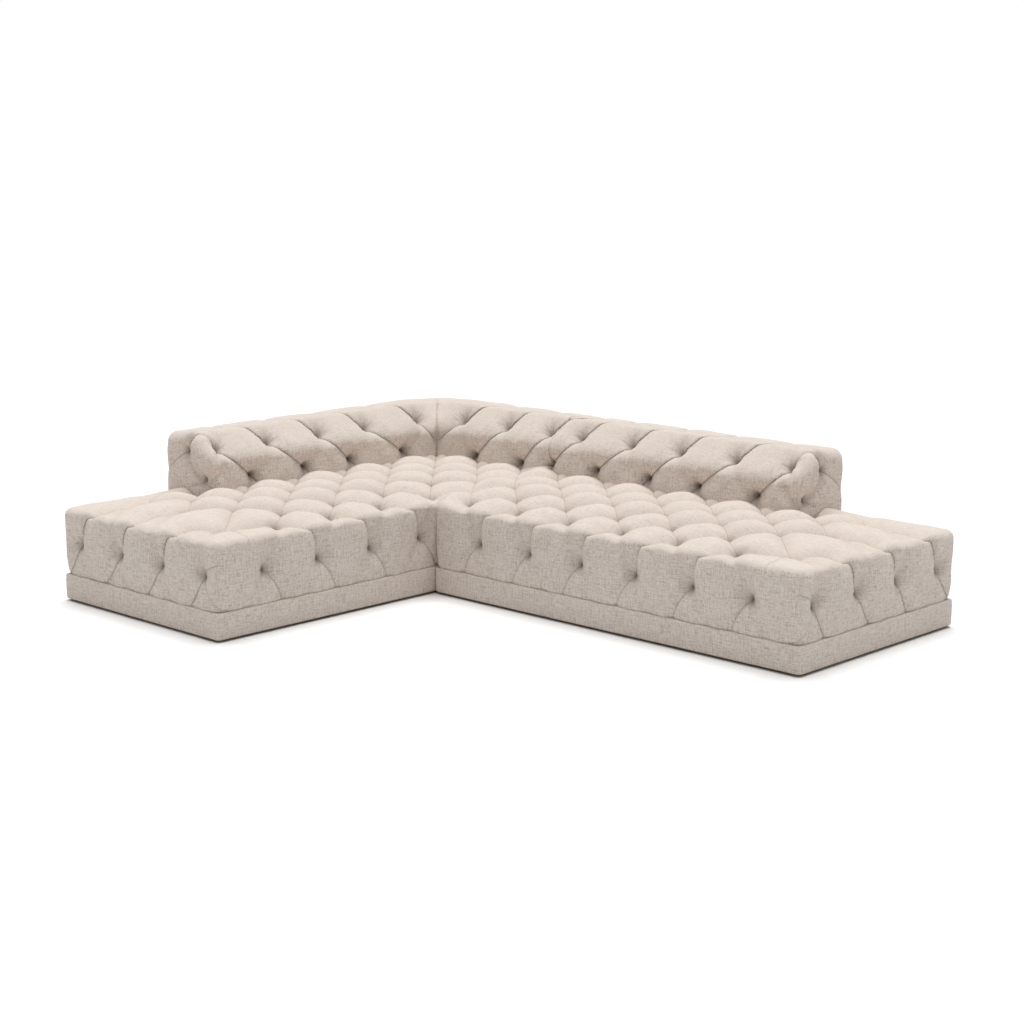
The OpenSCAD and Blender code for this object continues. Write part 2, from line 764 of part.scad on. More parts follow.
module tongue() {
    top_z = plate_z + tongue_h;
    bar([pocket_face - steel_t - tongue_reach, -tongue_w / 2, top_z - steel_t],
        [pocket_face, tongue_w / 2, top_z]);
    bar([tongue_x, -tongue_w / 2, plate_z + receiver_h - tongue_engage],
        [tongue_x + steel_t, tongue_w / 2, top_z]);
    difference() {
        bar([pocket_face - steel_t, -tongue_w / 2, plate_z], [pocket_face, tongue_w / 2, top_z]);
        for (side = [-1, 1]) plate_bore(pocket_face, side, tongue_screw_z);
    }
}

tongue_reach = pocket_face - steel_t - tongue_x;
tongue_screw_z = plate_z + plate_screw_step;

module plate_screws(face, z, direction) {
    for (side = [-1, 1]) translate([face, side * tongue_w / 4, z]) rotate([0, 90 * direction, 0]) {
        cylinder(r = screw_r, h = short_screw_l);
        mirror([0, 0, 1]) cylinder(r = screw_head_r - screw_r / 2, h = screw_head_h);
    }
}

// Children at each connector: across the joint X, along it Y
module at_connectors() {
    to_frame() for (share = connector_shares)
        translate([section_depth, -section_depth * share, 0]) children();
}

module left_board_bores() {
    at_connectors() for (side = [-1, 1])
        plate_bore(left_board_face, side, plate_z + receiver_screw_up);
}

module right_board_pocket() {
    at_connectors() {
        bar([right_board_face - overrun, -window_w / 2, 0],
            [pocket_face, window_w / 2, glide_h + board_h - fit_gap]);
        for (side = [-1, 1]) plate_bore(pocket_face, side, tongue_screw_z);
    }
}

module joint_windows() {
    at_connectors() bar([-plinth_cover_t - overrun, -window_w / 2, glide_h - overrun],
                        [section_gap + plinth_cover_t + overrun, window_w / 2,
                         plate_z + tongue_h + tongue_clear]);
}

// The sub-parts

fabric = "#cfc4b6";
fabric_plinth = "#c4b8aa";
timber = "#c8a878";
ply = "#b8935f";
foam = "#efe3b4";
steel = "#8c8f94";
black_felt = "#3a3a3c";
jute = "#a98f63";
webbing = "#5b5348";
plastic = "#26272a";

left_posts = post_places(left_length, left_back_span);
right_posts = post_places(right_length, right_back_span);
corner_posts = [for (share = corner_post_shares)
    corner_back_span[0] + (corner_back_span[1] - corner_back_span[0]) * share];

module left_glides() { color(plastic) place_left() glides(left_length); }
module left_dust_cover() { color(black_felt) place_left() dust_cover(left_length); }
module left_plinth_boards() {
    color(timber) difference() {
        place_left() plinth_boards(left_length);
        left_board_bores();
    }
}
module left_plinth_blocks() { color(timber) place_left() plinth_blocks(left_length); }
module left_plinth_top() { color(ply) place_left() plinth_top(left_length); }
module left_plinth_cover() {
    color(fabric_plinth) difference() {
        place_left() plinth_cover(left_length);
        joint_windows();
    }
}
module left_seat_rails() {
    color(timber) difference() {
        place_left() seat_rails(left_length);
        place_left() for (a = left_posts, z = post_screw_heights) post_screw_bore(a, z, 1);
        place_corner() for (a = corner_posts, z = post_screw_heights) post_screw_bore(a, z, 1);
    }
}
module left_cross_rails() { color(timber) place_left() cross_rails(left_length); }
module left_corner_braces() { color(ply) place_left() corner_braces(left_length); }
module left_springs() { color(steel) place_left() springs(left_length); }
module left_spring_clips() { color(plastic) place_left() spring_clips(left_length); }
module left_spring_ties() { color(steel) place_left() spring_ties(left_length); }
module left_deck_pad() { color(jute) place_left() deck_pad(left_length, soft_start); }
module left_seat_foam() {
    color(foam) place_left()
        seat_foam(left_length, soft_start, back_depth, left_back_length);
}
module left_tuft_ties() {
    color(jute) place_left() tuft_ties(left_length, back_depth, left_back_length);
}
module left_seat_cover() {
    color(fabric) place_left()
        seat_cover(left_length, back_depth, left_back_length, section_depth,
                   left_posts, corner_posts);
}
module left_back_posts() { color(timber) place_left() back_posts(left_posts); }
module left_back_rails() { color(timber) place_left() back_rails(left_back_span); }
module left_back_webbing() { color(webbing) place_left() back_webbing(left_posts); }
module left_back_foam() { color(foam) place_left() back_foam(left_back_span); }
module left_back_cover() {
    color(fabric) place_left()
        back_cover(left_back_length, 1, 1, back_tuft_end, left_back_span);
}
module corner_back_posts() { color(timber) place_corner() back_posts(corner_posts); }
module corner_back_rails() { color(timber) place_corner() back_rails(corner_back_span); }
module corner_back_webbing() { color(webbing) place_corner() back_webbing(corner_posts); }
module corner_back_foam() { color(foam) place_corner() back_foam(corner_back_span); }
module corner_back_cover() {
    color(fabric) place_corner()
        back_cover(section_depth, 1, 0, joint_tuft_end, corner_back_span);
}
module left_frame_screws() {
    color(steel) {
        place_left() post_screws(left_posts);
        place_corner() post_screws(corner_posts);
    }
}
module left_connector_screws() {
    color(steel) at_connectors()
        plate_screws(left_board_face + steel_t, plate_z + receiver_screw_up, -1);
}
module left_connector_receivers() { color(steel) at_connectors() receiver(); }

module right_glides() { color(plastic) place_right() glides(right_length); }
module right_dust_cover() { color(black_felt) place_right() dust_cover(right_length); }
module right_plinth_boards() {
    color(timber) difference() {
        place_right() plinth_boards(right_length);
        right_board_pocket();
    }
}
module right_plinth_blocks() { color(timber) place_right() plinth_blocks(right_length); }
module right_plinth_top() { color(ply) place_right() plinth_top(right_length); }
module right_plinth_cover() {
    color(fabric_plinth) difference() {
        place_right() plinth_cover(right_length);
        joint_windows();
    }
}
module right_seat_rails() {
    color(timber) difference() {
        place_right() seat_rails(right_length);
        place_right() for (a = right_posts, z = post_screw_heights) post_screw_bore(a, z, 1);
    }
}
module right_cross_rails() { color(timber) place_right() cross_rails(right_length); }
module right_corner_braces() { color(ply) place_right() corner_braces(right_length); }
module right_springs() { color(steel) place_right() springs(right_length); }
module right_spring_clips() { color(plastic) place_right() spring_clips(right_length); }
module right_spring_ties() { color(steel) place_right() spring_ties(right_length); }
module right_deck_pad() {
    color(jute) place_right() deck_pad(right_length, side_pad + fit_gap);
}
module right_seat_foam() {
    color(foam) place_right()
        seat_foam(right_length, side_pad + fit_gap, 0, right_back_length);
}
module right_tuft_ties() {
    color(jute) place_right() tuft_ties(right_length, 0, right_back_length);
}
module right_seat_cover() {
    color(fabric) place_right()
        seat_cover(right_length, 0, right_back_length, 0, right_posts, []);
}
module right_back_posts() { color(timber) place_right() back_posts(right_posts); }
module right_back_rails() { color(timber) place_right() back_rails(right_back_span); }
module right_back_webbing() { color(webbing) place_right() back_webbing(right_posts); }
module right_back_foam() { color(foam) place_right() back_foam(right_back_span); }
module right_back_cover() {
    color(fabric) place_right()
        back_cover(right_back_length, 0, 1, back_tuft_end, right_back_span);
}
module right_frame_screws() { color(steel) place_right() post_screws(right_posts); }
module right_connector_screws() {
    color(steel) at_connectors() plate_screws(pocket_face - steel_t, tongue_screw_z, 1);
}
module right_connector_tongues() { color(steel) at_connectors() tongue(); }

left_glides();
left_dust_cover();
left_plinth_boards();
left_plinth_blocks();
left_plinth_top();
left_plinth_cover();
left_seat_rails();
left_cross_rails();
left_corner_braces();
left_springs();
left_spring_clips();
left_spring_ties();
left_deck_pad();
left_seat_foam();
left_tuft_ties();
left_seat_cover();
left_back_posts();
left_back_rails();
left_back_webbing();
left_back_foam();
left_back_cover();
corner_back_posts();
corner_back_rails();
corner_back_webbing();
corner_back_foam();
corner_back_cover();
left_frame_screws();
left_connector_screws();
left_connector_receivers();
right_glides();
right_dust_cover();
right_plinth_boards();
right_plinth_blocks();
right_plinth_top();
right_plinth_cover();
right_seat_rails();
right_cross_rails();
right_corner_braces();
right_springs();
right_spring_clips();
right_spring_ties();
right_deck_pad();
right_seat_foam();
right_tuft_ties();
right_seat_cover();
right_back_posts();
right_back_rails();
right_back_webbing();
right_back_foam();
right_back_cover();
right_frame_screws();
right_connector_screws();
right_connector_tongues();
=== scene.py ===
"""Looks of the L-shaped tufted sofa: tufted covers, plinth, frame finishes and studio.

Every padded cover starts as a round-edged block. Folds and tufts are drawn on the block's
flat faces, laid over its round edges, and pressed into a fine mesh. Lengths are in metres.
"""

from __future__ import annotations

import json
import logging
import math
from dataclasses import dataclass, field, replace
from enum import Enum
from typing import Callable, Iterable, Optional, Sequence, Union

import bpy
import numpy as np
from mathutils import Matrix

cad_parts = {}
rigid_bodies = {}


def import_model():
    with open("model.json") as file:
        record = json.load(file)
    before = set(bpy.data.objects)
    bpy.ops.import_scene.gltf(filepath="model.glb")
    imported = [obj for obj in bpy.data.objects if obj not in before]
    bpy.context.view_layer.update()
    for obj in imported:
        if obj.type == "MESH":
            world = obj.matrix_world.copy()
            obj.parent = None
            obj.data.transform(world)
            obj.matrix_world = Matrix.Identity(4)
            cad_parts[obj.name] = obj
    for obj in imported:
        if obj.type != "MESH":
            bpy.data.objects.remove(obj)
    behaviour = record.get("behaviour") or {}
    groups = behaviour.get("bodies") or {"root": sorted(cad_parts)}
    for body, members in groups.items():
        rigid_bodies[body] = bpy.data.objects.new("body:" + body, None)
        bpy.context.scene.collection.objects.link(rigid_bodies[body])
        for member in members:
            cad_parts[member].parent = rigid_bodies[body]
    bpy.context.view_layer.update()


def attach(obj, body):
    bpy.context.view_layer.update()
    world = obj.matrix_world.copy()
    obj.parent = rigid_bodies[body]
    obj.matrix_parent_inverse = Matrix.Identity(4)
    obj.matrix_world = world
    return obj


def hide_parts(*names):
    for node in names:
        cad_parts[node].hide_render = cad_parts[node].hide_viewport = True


LOG = logging.getLogger("sofa")

Spot = tuple[float, float]
Point = tuple[float, float, float]
Path = tuple[Point, ...]
Chart = Callable[[float, float], Point]
Colour = tuple[float, float, float, float]

SECTION_DEPTH = 1.070
LEFT_LENGTH = 2.260
RIGHT_LENGTH = 1.960
SECTION_GAP = 0.002
SOFA_WIDTH = SECTION_DEPTH + SECTION_GAP + RIGHT_LENGTH
JOINT_PLACE = SECTION_DEPTH + SECTION_GAP / 2 - SOFA_WIDTH / 2
PLINTH_FOOT = 0.010
PLINTH_TOP = 0.118
SEAT_TOP = 0.410
BACK_FOOT = 0.385
BACK_TOP = 0.695
BACK_DEPTH = 0.335
LEFT_BACK = 1.705
RIGHT_BACK = 1.406
BACK_SINK = 0.027
FRAME_INSET = 0.0437
TUFT_STEP = 0.2908
FIRST_TUFT = 0.2555
ROW_STEP = 0.1418
FRONT_ROW = 0.9605
SIDE_TUFT_HEIGHT = 0.255
MITRE_REACH = 0.55
GRID_CELL = 0.008
NO_CREASE = (0.05, 0.05, 0.0)


def ease(t: np.ndarray | float) -> np.ndarray:
    """Smooth step from 0 to 1."""
    c = np.clip(t, 0.0, 1.0)
    return c * c * (3.0 - 2.0 * c)


def rising(value: np.ndarray, start: float, width: float) -> np.ndarray:
    """Smooth step from 0 at a start to 1 a width later."""
    return ease((value - start) / width)


def falling(value: np.ndarray, end: float, width: float) -> np.ndarray:
    """Smooth step from 1 to 0, which it reaches at an end."""
    return ease((end - value) / width)


class Place(Enum):
    """How a section's own axes (along it, from its rear, up) lie in the frame."""

    LEFT = "left"
    CORNER = "corner"
    RIGHT = "right"

    @property
    def mirrored(self) -> bool:
        """True where the place turns a shape into its mirror image."""
        return self is not Place.LEFT

    def world(self, points: np.ndarray) -> np.ndarray:
        """Moves rows of along, depth and height to rows of x, y and z."""
        x0, y0 = -SOFA_WIDTH / 2, LEFT_LENGTH / 2
        a, d, z = np.asarray(points, float).T
        if self is Place.LEFT:
            return np.stack([x0 + d, y0 - a, z], axis=1)
        start = 0.0 if self is Place.CORNER else SECTION_DEPTH + SECTION_GAP
        return np.stack([x0 + start + a, y0 - d, z], axis=1)


@dataclass(frozen=True)
class Section:
    """One of the two sections that the sofa comes apart into."""

    side: str
    place: Place
    length: float

    @property
    def body(self) -> str:
        """The body that the section's pieces ride on."""
        return self.side + "_section"


LEFT = Section("left", Place.LEFT, LEFT_LENGTH)
RIGHT = Section("right", Place.RIGHT, RIGHT_LENGTH)


# Folds and tufts


class Crease(Enum):
    """How a fold looks: a crisp pleat or a soft valley."""

    CRISP = "crisp"
    SOFT = "soft"


@dataclass(frozen=True)
class FoldStyle:
    """How a fold is pressed in.

    Attributes:
        crease: Crisp or soft.
        depth: Depth at its start.
        end: Depth at its end, as a share of the first.
        width: Reach to either side.
        tuck: How far a pleat's one side stands over the other.
        crease_shade: Strength of the shade painted along a pleat's line.
        rise: Further depth in its middle.
        late: Power that delays or hastens the change of depth.
        fade: Share of its length over which its end fades out.
        proud: Width of its start on the proud side, as a share.
    """

    crease: Crease
    depth: float
    end: float = 1.0
    width: float = 0.100
    tuck: float = 0.0
    crease_shade: float = 1.0
    rise: float = 0.0
    late: float = 1.0
    fade: float = 0.0
    proud: float = 1.0


@dataclass(frozen=True)
class TuftStyle:
    """How a sewn tuft is pressed in: its pit, its puckers, and the creases that fan out."""

    depth: float
    reach: float
    wrinkles: int
    wrinkle: float
    fan: Point = (0.0, 0.0, 0.0)
    fan_height: float = 0.0
    bowl: float = 0.0


@dataclass(frozen=True)
class Fold:
    """A fold, drawn on the block's flat faces."""

    path: Path
    style: FoldStyle


@dataclass(frozen=True)
class Tuft:
    """A tuft, drawn on the block's flat faces."""

    place: Point
    style: TuftStyle


@dataclass(frozen=True)
class Swell:
    """A ridge of fuller padding, drawn on the block's flat faces."""

    path: Path
    height: float
    width: float


CRISP, SOFT = Crease.CRISP, Crease.SOFT

# Folds of the seats
TOP_PLEAT = FoldStyle(CRISP, depth=0.034, width=0.112, tuck=0.002, crease_shade=0.6)
TOP_VALLEY = FoldStyle(SOFT, depth=0.044, width=0.112)
FRONT_PLEAT = FoldStyle(
    CRISP, depth=0.018, end=1.9, width=0.105, tuck=0.005, crease_shade=1.2, late=1.5, proud=0.55
)
FRONT_VALLEY = FoldStyle(SOFT, depth=0.018, end=2.4, width=0.105, rise=-0.004, late=1.8)
END_PLEAT = replace(FRONT_PLEAT, end=2.0, width=0.110, late=1.3, fade=0.4)
END_VALLEY = replace(FRONT_VALLEY, width=0.110, late=1.6)
FOOT_PLEAT = FoldStyle(CRISP, depth=0.018, end=0.45, width=0.080, tuck=-0.006)
END_FOOT_PLEAT = replace(FOOT_PLEAT, tuck=-0.005, crease_shade=0.8)
FOOT_VALLEY = FoldStyle(SOFT, depth=0.014, end=0.35, width=0.080)
JOINT_PLEAT = FoldStyle(CRISP, depth=0.032, end=0.75, width=0.105, crease_shade=0.5)
JOINT_VALLEY = FoldStyle(SOFT, depth=0.040, end=0.75, width=0.105)
CORNER_FOOT = FoldStyle(CRISP, depth=0.008, end=0.6, width=0.060, tuck=0.003)
CORNER_NOTCH = FoldStyle(CRISP, depth=0.007, end=0.0, width=0.055, tuck=0.002)
CORNER_TOP = FoldStyle(CRISP, depth=0.018, end=0.0, width=0.070, tuck=0.0015, crease_shade=0.6)

# Folds of the backs
OVER_PLEAT = FoldStyle(
    CRISP, depth=0.027, end=0.22, width=0.090, tuck=-0.007, crease_shade=1.2, late=0.42, fade=0.1
)
OVER_VALLEY = FoldStyle(SOFT, depth=0.024, end=0.15, late=0.6)
DIAMOND_PLEAT = FoldStyle(CRISP, depth=0.030, end=0.85, width=0.090, tuck=0.007, rise=-0.011)
DIAMOND_VALLEY = FoldStyle(SOFT, depth=0.024, end=0.85, width=0.105, rise=-0.009)
BACK_FOOT_PLEAT = FoldStyle(CRISP, depth=0.022, end=0.5, width=0.070, tuck=0.003)
BACK_FOOT_VALLEY = FoldStyle(SOFT, depth=0.020, end=0.4, width=0.070)
MITRE_SEAM = FoldStyle(CRISP, depth=0.002, width=0.020, crease_shade=0.12)
MITRE_PLEAT = FoldStyle(CRISP, depth=0.032, end=0.5, tuck=0.003)
HORN_ARCH = FoldStyle(CRISP, depth=0.018, width=0.055, tuck=-0.003)
HORN_INNER = FoldStyle(SOFT, depth=0.028, end=0.7, width=0.052)
HORN_OUTER = FoldStyle(SOFT, depth=0.024, end=0.9, width=0.052)
HORN_FOOT = FoldStyle(CRISP, depth=0.014, end=0.2, width=0.060, crease_shade=0.7)
HORN_REAR = FoldStyle(CRISP, depth=0.012, end=0.5, width=0.070, tuck=0.003)

# Tufts
TOP_TUFT = TuftStyle(depth=0.003, reach=0.020, wrinkles=8, wrinkle=0.0007)
FRONT_TUFT = TuftStyle(0.023, 0.017, 7, 0.0010, (-1.0, 0.0, 0.8), fan_height=0.0026, bowl=0.022)
END_TUFT = replace(FRONT_TUFT, fan=(0.0, -1.0, 0.8))
UPPER_TUFT = TuftStyle(0.020, 0.016, 9, 0.0012, (-1.0, 0.0, 0.7), fan_height=0.0024, bowl=0.007)
LOWER_TUFT = TuftStyle(0.026, 0.018, 10, 0.0018, (0.1, 0.0, 1.0), fan_height=0.0028, bowl=0.004)
HORN_END_TUFT = TuftStyle(0.008, 0.020, 7, 0.0010, (0.0, -1.0, 0.9), fan_height=0.001, bowl=0.006)
HORN_TIP_TUFT = TuftStyle(0.014, 0.022, 8, 0.0014, (-0.2, 0.0, 1.0), fan_height=0.0012, bowl=0.006)


def polyline_distance(points: np.ndarray, path: np.ndarray) -> tuple[np.ndarray, ...]:
    """Distance from points to a polyline.

    Args:
        points: Rows of x, y and z.
        path: The polyline's points.

    Returns:
        The distance, the share of the length along the path, the nearest point, and the
        direction of the nearest segment.
    """
    a, b = path[:-1], path[1:]
    ab = b - a
    size = np.maximum(np.einsum("ij,ij->i", ab, ab), 1e-12)
    rel = points[:, None, :] - a[None]
    t = np.clip(np.einsum("nsj,sj->ns", rel, ab) / size, 0.0, 1.0)
    near = a[None] + t[..., None] * ab[None]
    dist = np.linalg.norm(points[:, None, :] - near, axis=2)
    best = dist.argmin(axis=1)
    rows = np.arange(len(points))
    lengths = np.sqrt(size)
    before = np.concatenate([[0.0], np.cumsum(lengths)])
    share = (before[best] + t[rows, best] * lengths[best]) / before[-1]
    return dist[rows, best], share, near[rows, best], ab[best] / lengths[best][:, None]


def curve(chart: Chart, start: Spot, end: Spot, bow: float = 0.0, steps: int = 14) -> Path:
    """A bowed line between two points of a chart.

    Args:
        chart: Turns the chart's two numbers into a point on the sharp block.
        start: First point of the line.
        end: Last point of the line.
        bow: How far the line bows to its left, as a share of its length.
        steps: Number of segments.

    Returns:
        Points on the sharp block.
    """
    dx, dy = end[0] - start[0], end[1] - start[1]
    out = []
    for k in range(steps + 1):
        t = k / steps
        lift = 4 * bow * t * (1 - t)
        out.append(chart(start[0] + dx * t - dy * lift, start[1] + dy * t + dx * lift))
    return tuple(out)


def threaded(chart: Chart, places: Sequence[Spot], steps: int = 4) -> Path:
    """A smooth line through places of a chart.

    Args:
        chart: Turns the chart's two numbers into a point on the sharp block.
        places: Places the line goes through.
        steps: Number of segments from one place to the next.

    Returns:
        Points on the sharp block.
    """
    flat = np.array(places, float)
    last = len(flat) - 1
    out = []
    for step in np.linspace(0, last, steps * last + 1):
        k = min(int(step), last - 1)
        t = step - k
        p0, p1, p2, p3 = (flat[min(max(i, 0), last)] for i in range(k - 1, k + 3))
        point = 0.5 * (
            2 * p1
            + (p2 - p0) * t
            + (2 * p0 - 5 * p1 + 4 * p2 - p3) * t**2
            + (3 * p1 - p0 - 3 * p2 + p3) * t**3
        )
        out.append(chart(float(point[0]), float(point[1])))
    return tuple(out)


# Blocks


def grid_quads(nx: int, ny: int) -> np.ndarray:
    """Faces of a grid of nx by ny cells, whose points are counted column by column."""
    i, j = np.meshgrid(np.arange(nx), np.arange(ny), indexing="ij")
    a = (i * (ny + 1) + j).ravel()
    return np.stack([a, a + ny + 1, a + ny + 2, a + 1], axis=1)


def grid_rim(nx: int, ny: int) -> np.ndarray:
    """Points round such a grid, in order."""
    at = np.arange((nx + 1) * (ny + 1)).reshape(nx + 1, ny + 1)
    return np.concatenate([at[:-1, 0], at[-1, :-1], at[:0:-1, -1], at[0, :0:-1]])


@dataclass(frozen=True)
class Radii:
    """Radii of a block's round edges, by side."""

    near: float
    far_rear: float
    far_front: float
    rear: float
    front: float
    top_rear: float
    top_front: float


@dataclass
class Block:
    """A round-edged block, as a grid on its top and four sides, open below.

    Attributes:
        length: Size along the section.
        depth: Size across the section.
        low: Height of the foot.
        high: Height of the crown.
        radii: Radii of the round edges.
        spacing: Wished size of a grid cell.
        cuts: Ends that are flat and stay in their plane.
        diagonal: True where the near end lies on the corner's diagonal.
        joint_axis: Axis that points across the sections' joint, where there is one.
        sharp: The grid's points on the sharp block, the top's first.
        quads: The grid's faces.
        chart: Places of the faces' corners on the flat cloth.
    """

    length: float
    depth: float
    low: float
    high: float
    radii: Radii
    spacing: float = GRID_CELL
    cuts: tuple[str, ...] = ()
    diagonal: bool = False
    joint_axis: Optional[int] = None
    sharp: np.ndarray = field(init=False)
    quads: np.ndarray = field(init=False)
    chart: np.ndarray = field(init=False)

    def __post_init__(self) -> None:
        """Makes the grid on the sharp block."""
        nx, ny = round(self.length / self.spacing), round(self.depth / self.spacing)
        nz = max(4, round((self.high - self.low) / self.spacing))
        xs, ys = np.linspace(0, self.length, nx + 1), np.linspace(0, self.depth, ny + 1)
        gx, gy = np.meshgrid(xs, ys, indexing="ij")
        top = np.column_stack([gx.ravel(), gy.ravel(), np.full(gx.size, self.high)])
        rim = grid_rim(nx, ny)
        m = len(rim)
        levels = np.linspace(self.high, self.low, nz + 1)[1:]
        rings = [np.column_stack([top[rim, :2], np.full(m, z)]) for z in levels]
        self.sharp = np.vstack([top, *rings])
        self.top_count = len(top)
        rows = np.vstack([rim, self.top_count + np.arange(nz * m).reshape(nz, m)])
        lower, upper = rows[1:], rows[:-1]
        ahead = [np.roll(row, -1, axis=1) for row in (lower, upper)]
        sides = np.stack([lower, *ahead, upper], axis=-1).reshape(-1, 4)
        turn = np.tile(np.repeat(np.arange(4), [nx, ny, nx, ny]), nz)
        lid = grid_quads(nx, ny)
        p, q = self.sharp[sides], turn[:, None]
        drop = self.high - p[:, :, 2]
        u = np.select([q == 1, q == 3], [self.length + drop, -drop], p[:, :, 0])
        v = np.select([q == 0, q == 2], [-drop, self.depth + drop], p[:, :, 1])
        self.quads = np.vstack([lid, sides])
        self.chart = np.vstack([self.sharp[lid][:, :, :2], np.stack([u, v], axis=2)])
        self.turns = np.concatenate([np.full(len(lid), -1), turn])
        self.foot = rows[-1]
        near = np.column_stack([rows[:, 2 * nx + ny :], rows[:, 0]])[:, ::-1]
        self.ends = {"near": near, "far": rows[:, nx : nx + ny + 1]}

    def bend(self, points: np.ndarray, sharp: np.ndarray) -> np.ndarray:
        """Bends the rounded block; sharp holds the same points before the rounding."""
        return points

    def tight(self, along: np.ndarray, deep: np.ndarray) -> np.ndarray:
        """Share by which the round edges narrow."""
        return np.zeros_like(along)

    def rounded(self, sharp: np.ndarray) -> np.ndarray:
        """Lays points of the sharp block on the round-edged and bent one.

        Args:
            sharp: Rows of along, depth and height on the sharp block.

        Returns:
            The same points on the block as it is upholstered.
        """
        r = self.radii
        a, d, z = sharp.T
        down = z - self.high
        across = ease(d / self.depth)
        crown = rising(down, -0.100, 0.060)
        far = r.far_rear + (r.far_front - r.far_rear) * np.maximum(across, crown)
        slim = 1 - 0.75 * self.tight(a, d)
        top = (r.top_rear + (r.top_front - r.top_rear) * across) * slim
        slim = 1 - (1 - slim) * rising(down, -0.080, 0.040)

        def edge(
            value: np.ndarray, size: float, low: np.ndarray, high: np.ndarray
        ) -> tuple[np.ndarray, np.ndarray]:
            """Share of the way into the round edge at either end, and its radius."""
            lo = np.where(low > 0, (value - low) / np.maximum(low, 1e-9), 0.0)
            hi = np.where(high > 0, (value - (size - high)) / np.maximum(high, 1e-9), 0.0)
            share = np.where(value < low, lo, np.where(value > size - high, hi, 0.0))
            return share, np.where(value < low, low, high)

        ea, ra = edge(a, self.length, r.near * slim, far)
        ed, rd = edge(d, self.depth, r.rear + 0 * slim, r.front * slim)
        ez = np.clip((z - (self.high - top)) / top, 0.0, 1.0)
        drawn = 1 - 1 / np.maximum(np.sqrt(ea**2 + ed**2 + ez**2), 1.0)
        out = [a - ea * ra * drawn, d - ed * rd * drawn, z - ez * top * drawn]
        return self.bend(np.stack(out, axis=1), sharp)

    def normals(self, points: np.ndarray) -> np.ndarray:
        """Outward directions at the grid's points; those of a cut end stay in its plane."""
        keep = ~np.isin(self.turns, [{"near": 3, "far": 1}[cut] for cut in self.cuts])
        quads = self.quads[keep]
        p = points[quads]
        face = np.cross(p[:, 2] - p[:, 0], p[:, 3] - p[:, 1])
        out = np.zeros_like(points)
        for k in range(4):
            np.add.at(out, quads[:, k], face)
        for cut in self.cuts:
            rows = self.ends[cut].ravel()
            out[rows, 0] = out[rows, 1] if self.diagonal and cut == "near" else 0.0
        if self.joint_axis is not None:
            tight = self.tight(self.sharp[:, 0], self.sharp[:, 1])
            out[:, 2] += np.abs(out[:, self.joint_axis]) * tight
            out[:, self.joint_axis] *= 1 - tight
        return out / np.maximum(np.linalg.norm(out, axis=1, keepdims=True), 1e-12)

    def fill_cuts(self, points: np.ndarray) -> None:
        """Lays the inside of each cut end evenly between its edges, in place."""
        for rows in (self.ends[cut] for cut in self.cuts):
            grid = points[rows]
            u = np.linspace(0, 1, rows.shape[0])[:, None, None]
            v = np.linspace(0, 1, rows.shape[1])[None, :, None]
            across = (1 - u) * grid[:1] + u * grid[-1:]
            along = (1 - v) * grid[:, :1] + v * grid[:, -1:]
            corners = (1 - u) * ((1 - v) * grid[0, 0] + v * grid[0, -1])
            corners = corners + u * ((1 - v) * grid[-1, 0] + v * grid[-1, -1])
            points[rows[1:-1, 1:-1]] = (across + along - corners)[1:-1, 1:-1]

    def over_front(self, along: float, run: float) -> Point:
        """A point by its run from the rear edge over the top and down the front."""
        return along, min(run, self.depth), self.high - max(run - self.depth, 0.0)

    def over_end(self, run: float, deep: float) -> Point:
        """A point by its run along the top and down the far end."""
        return min(run, self.length), deep, self.high - max(run - self.length, 0.0)

    def round_corner(self, run: float, height: float) -> Point:
        """A point by its run along the front and round the upright corner."""
        return min(run, self.length), self.depth - max(run - self.length, 0.0), height


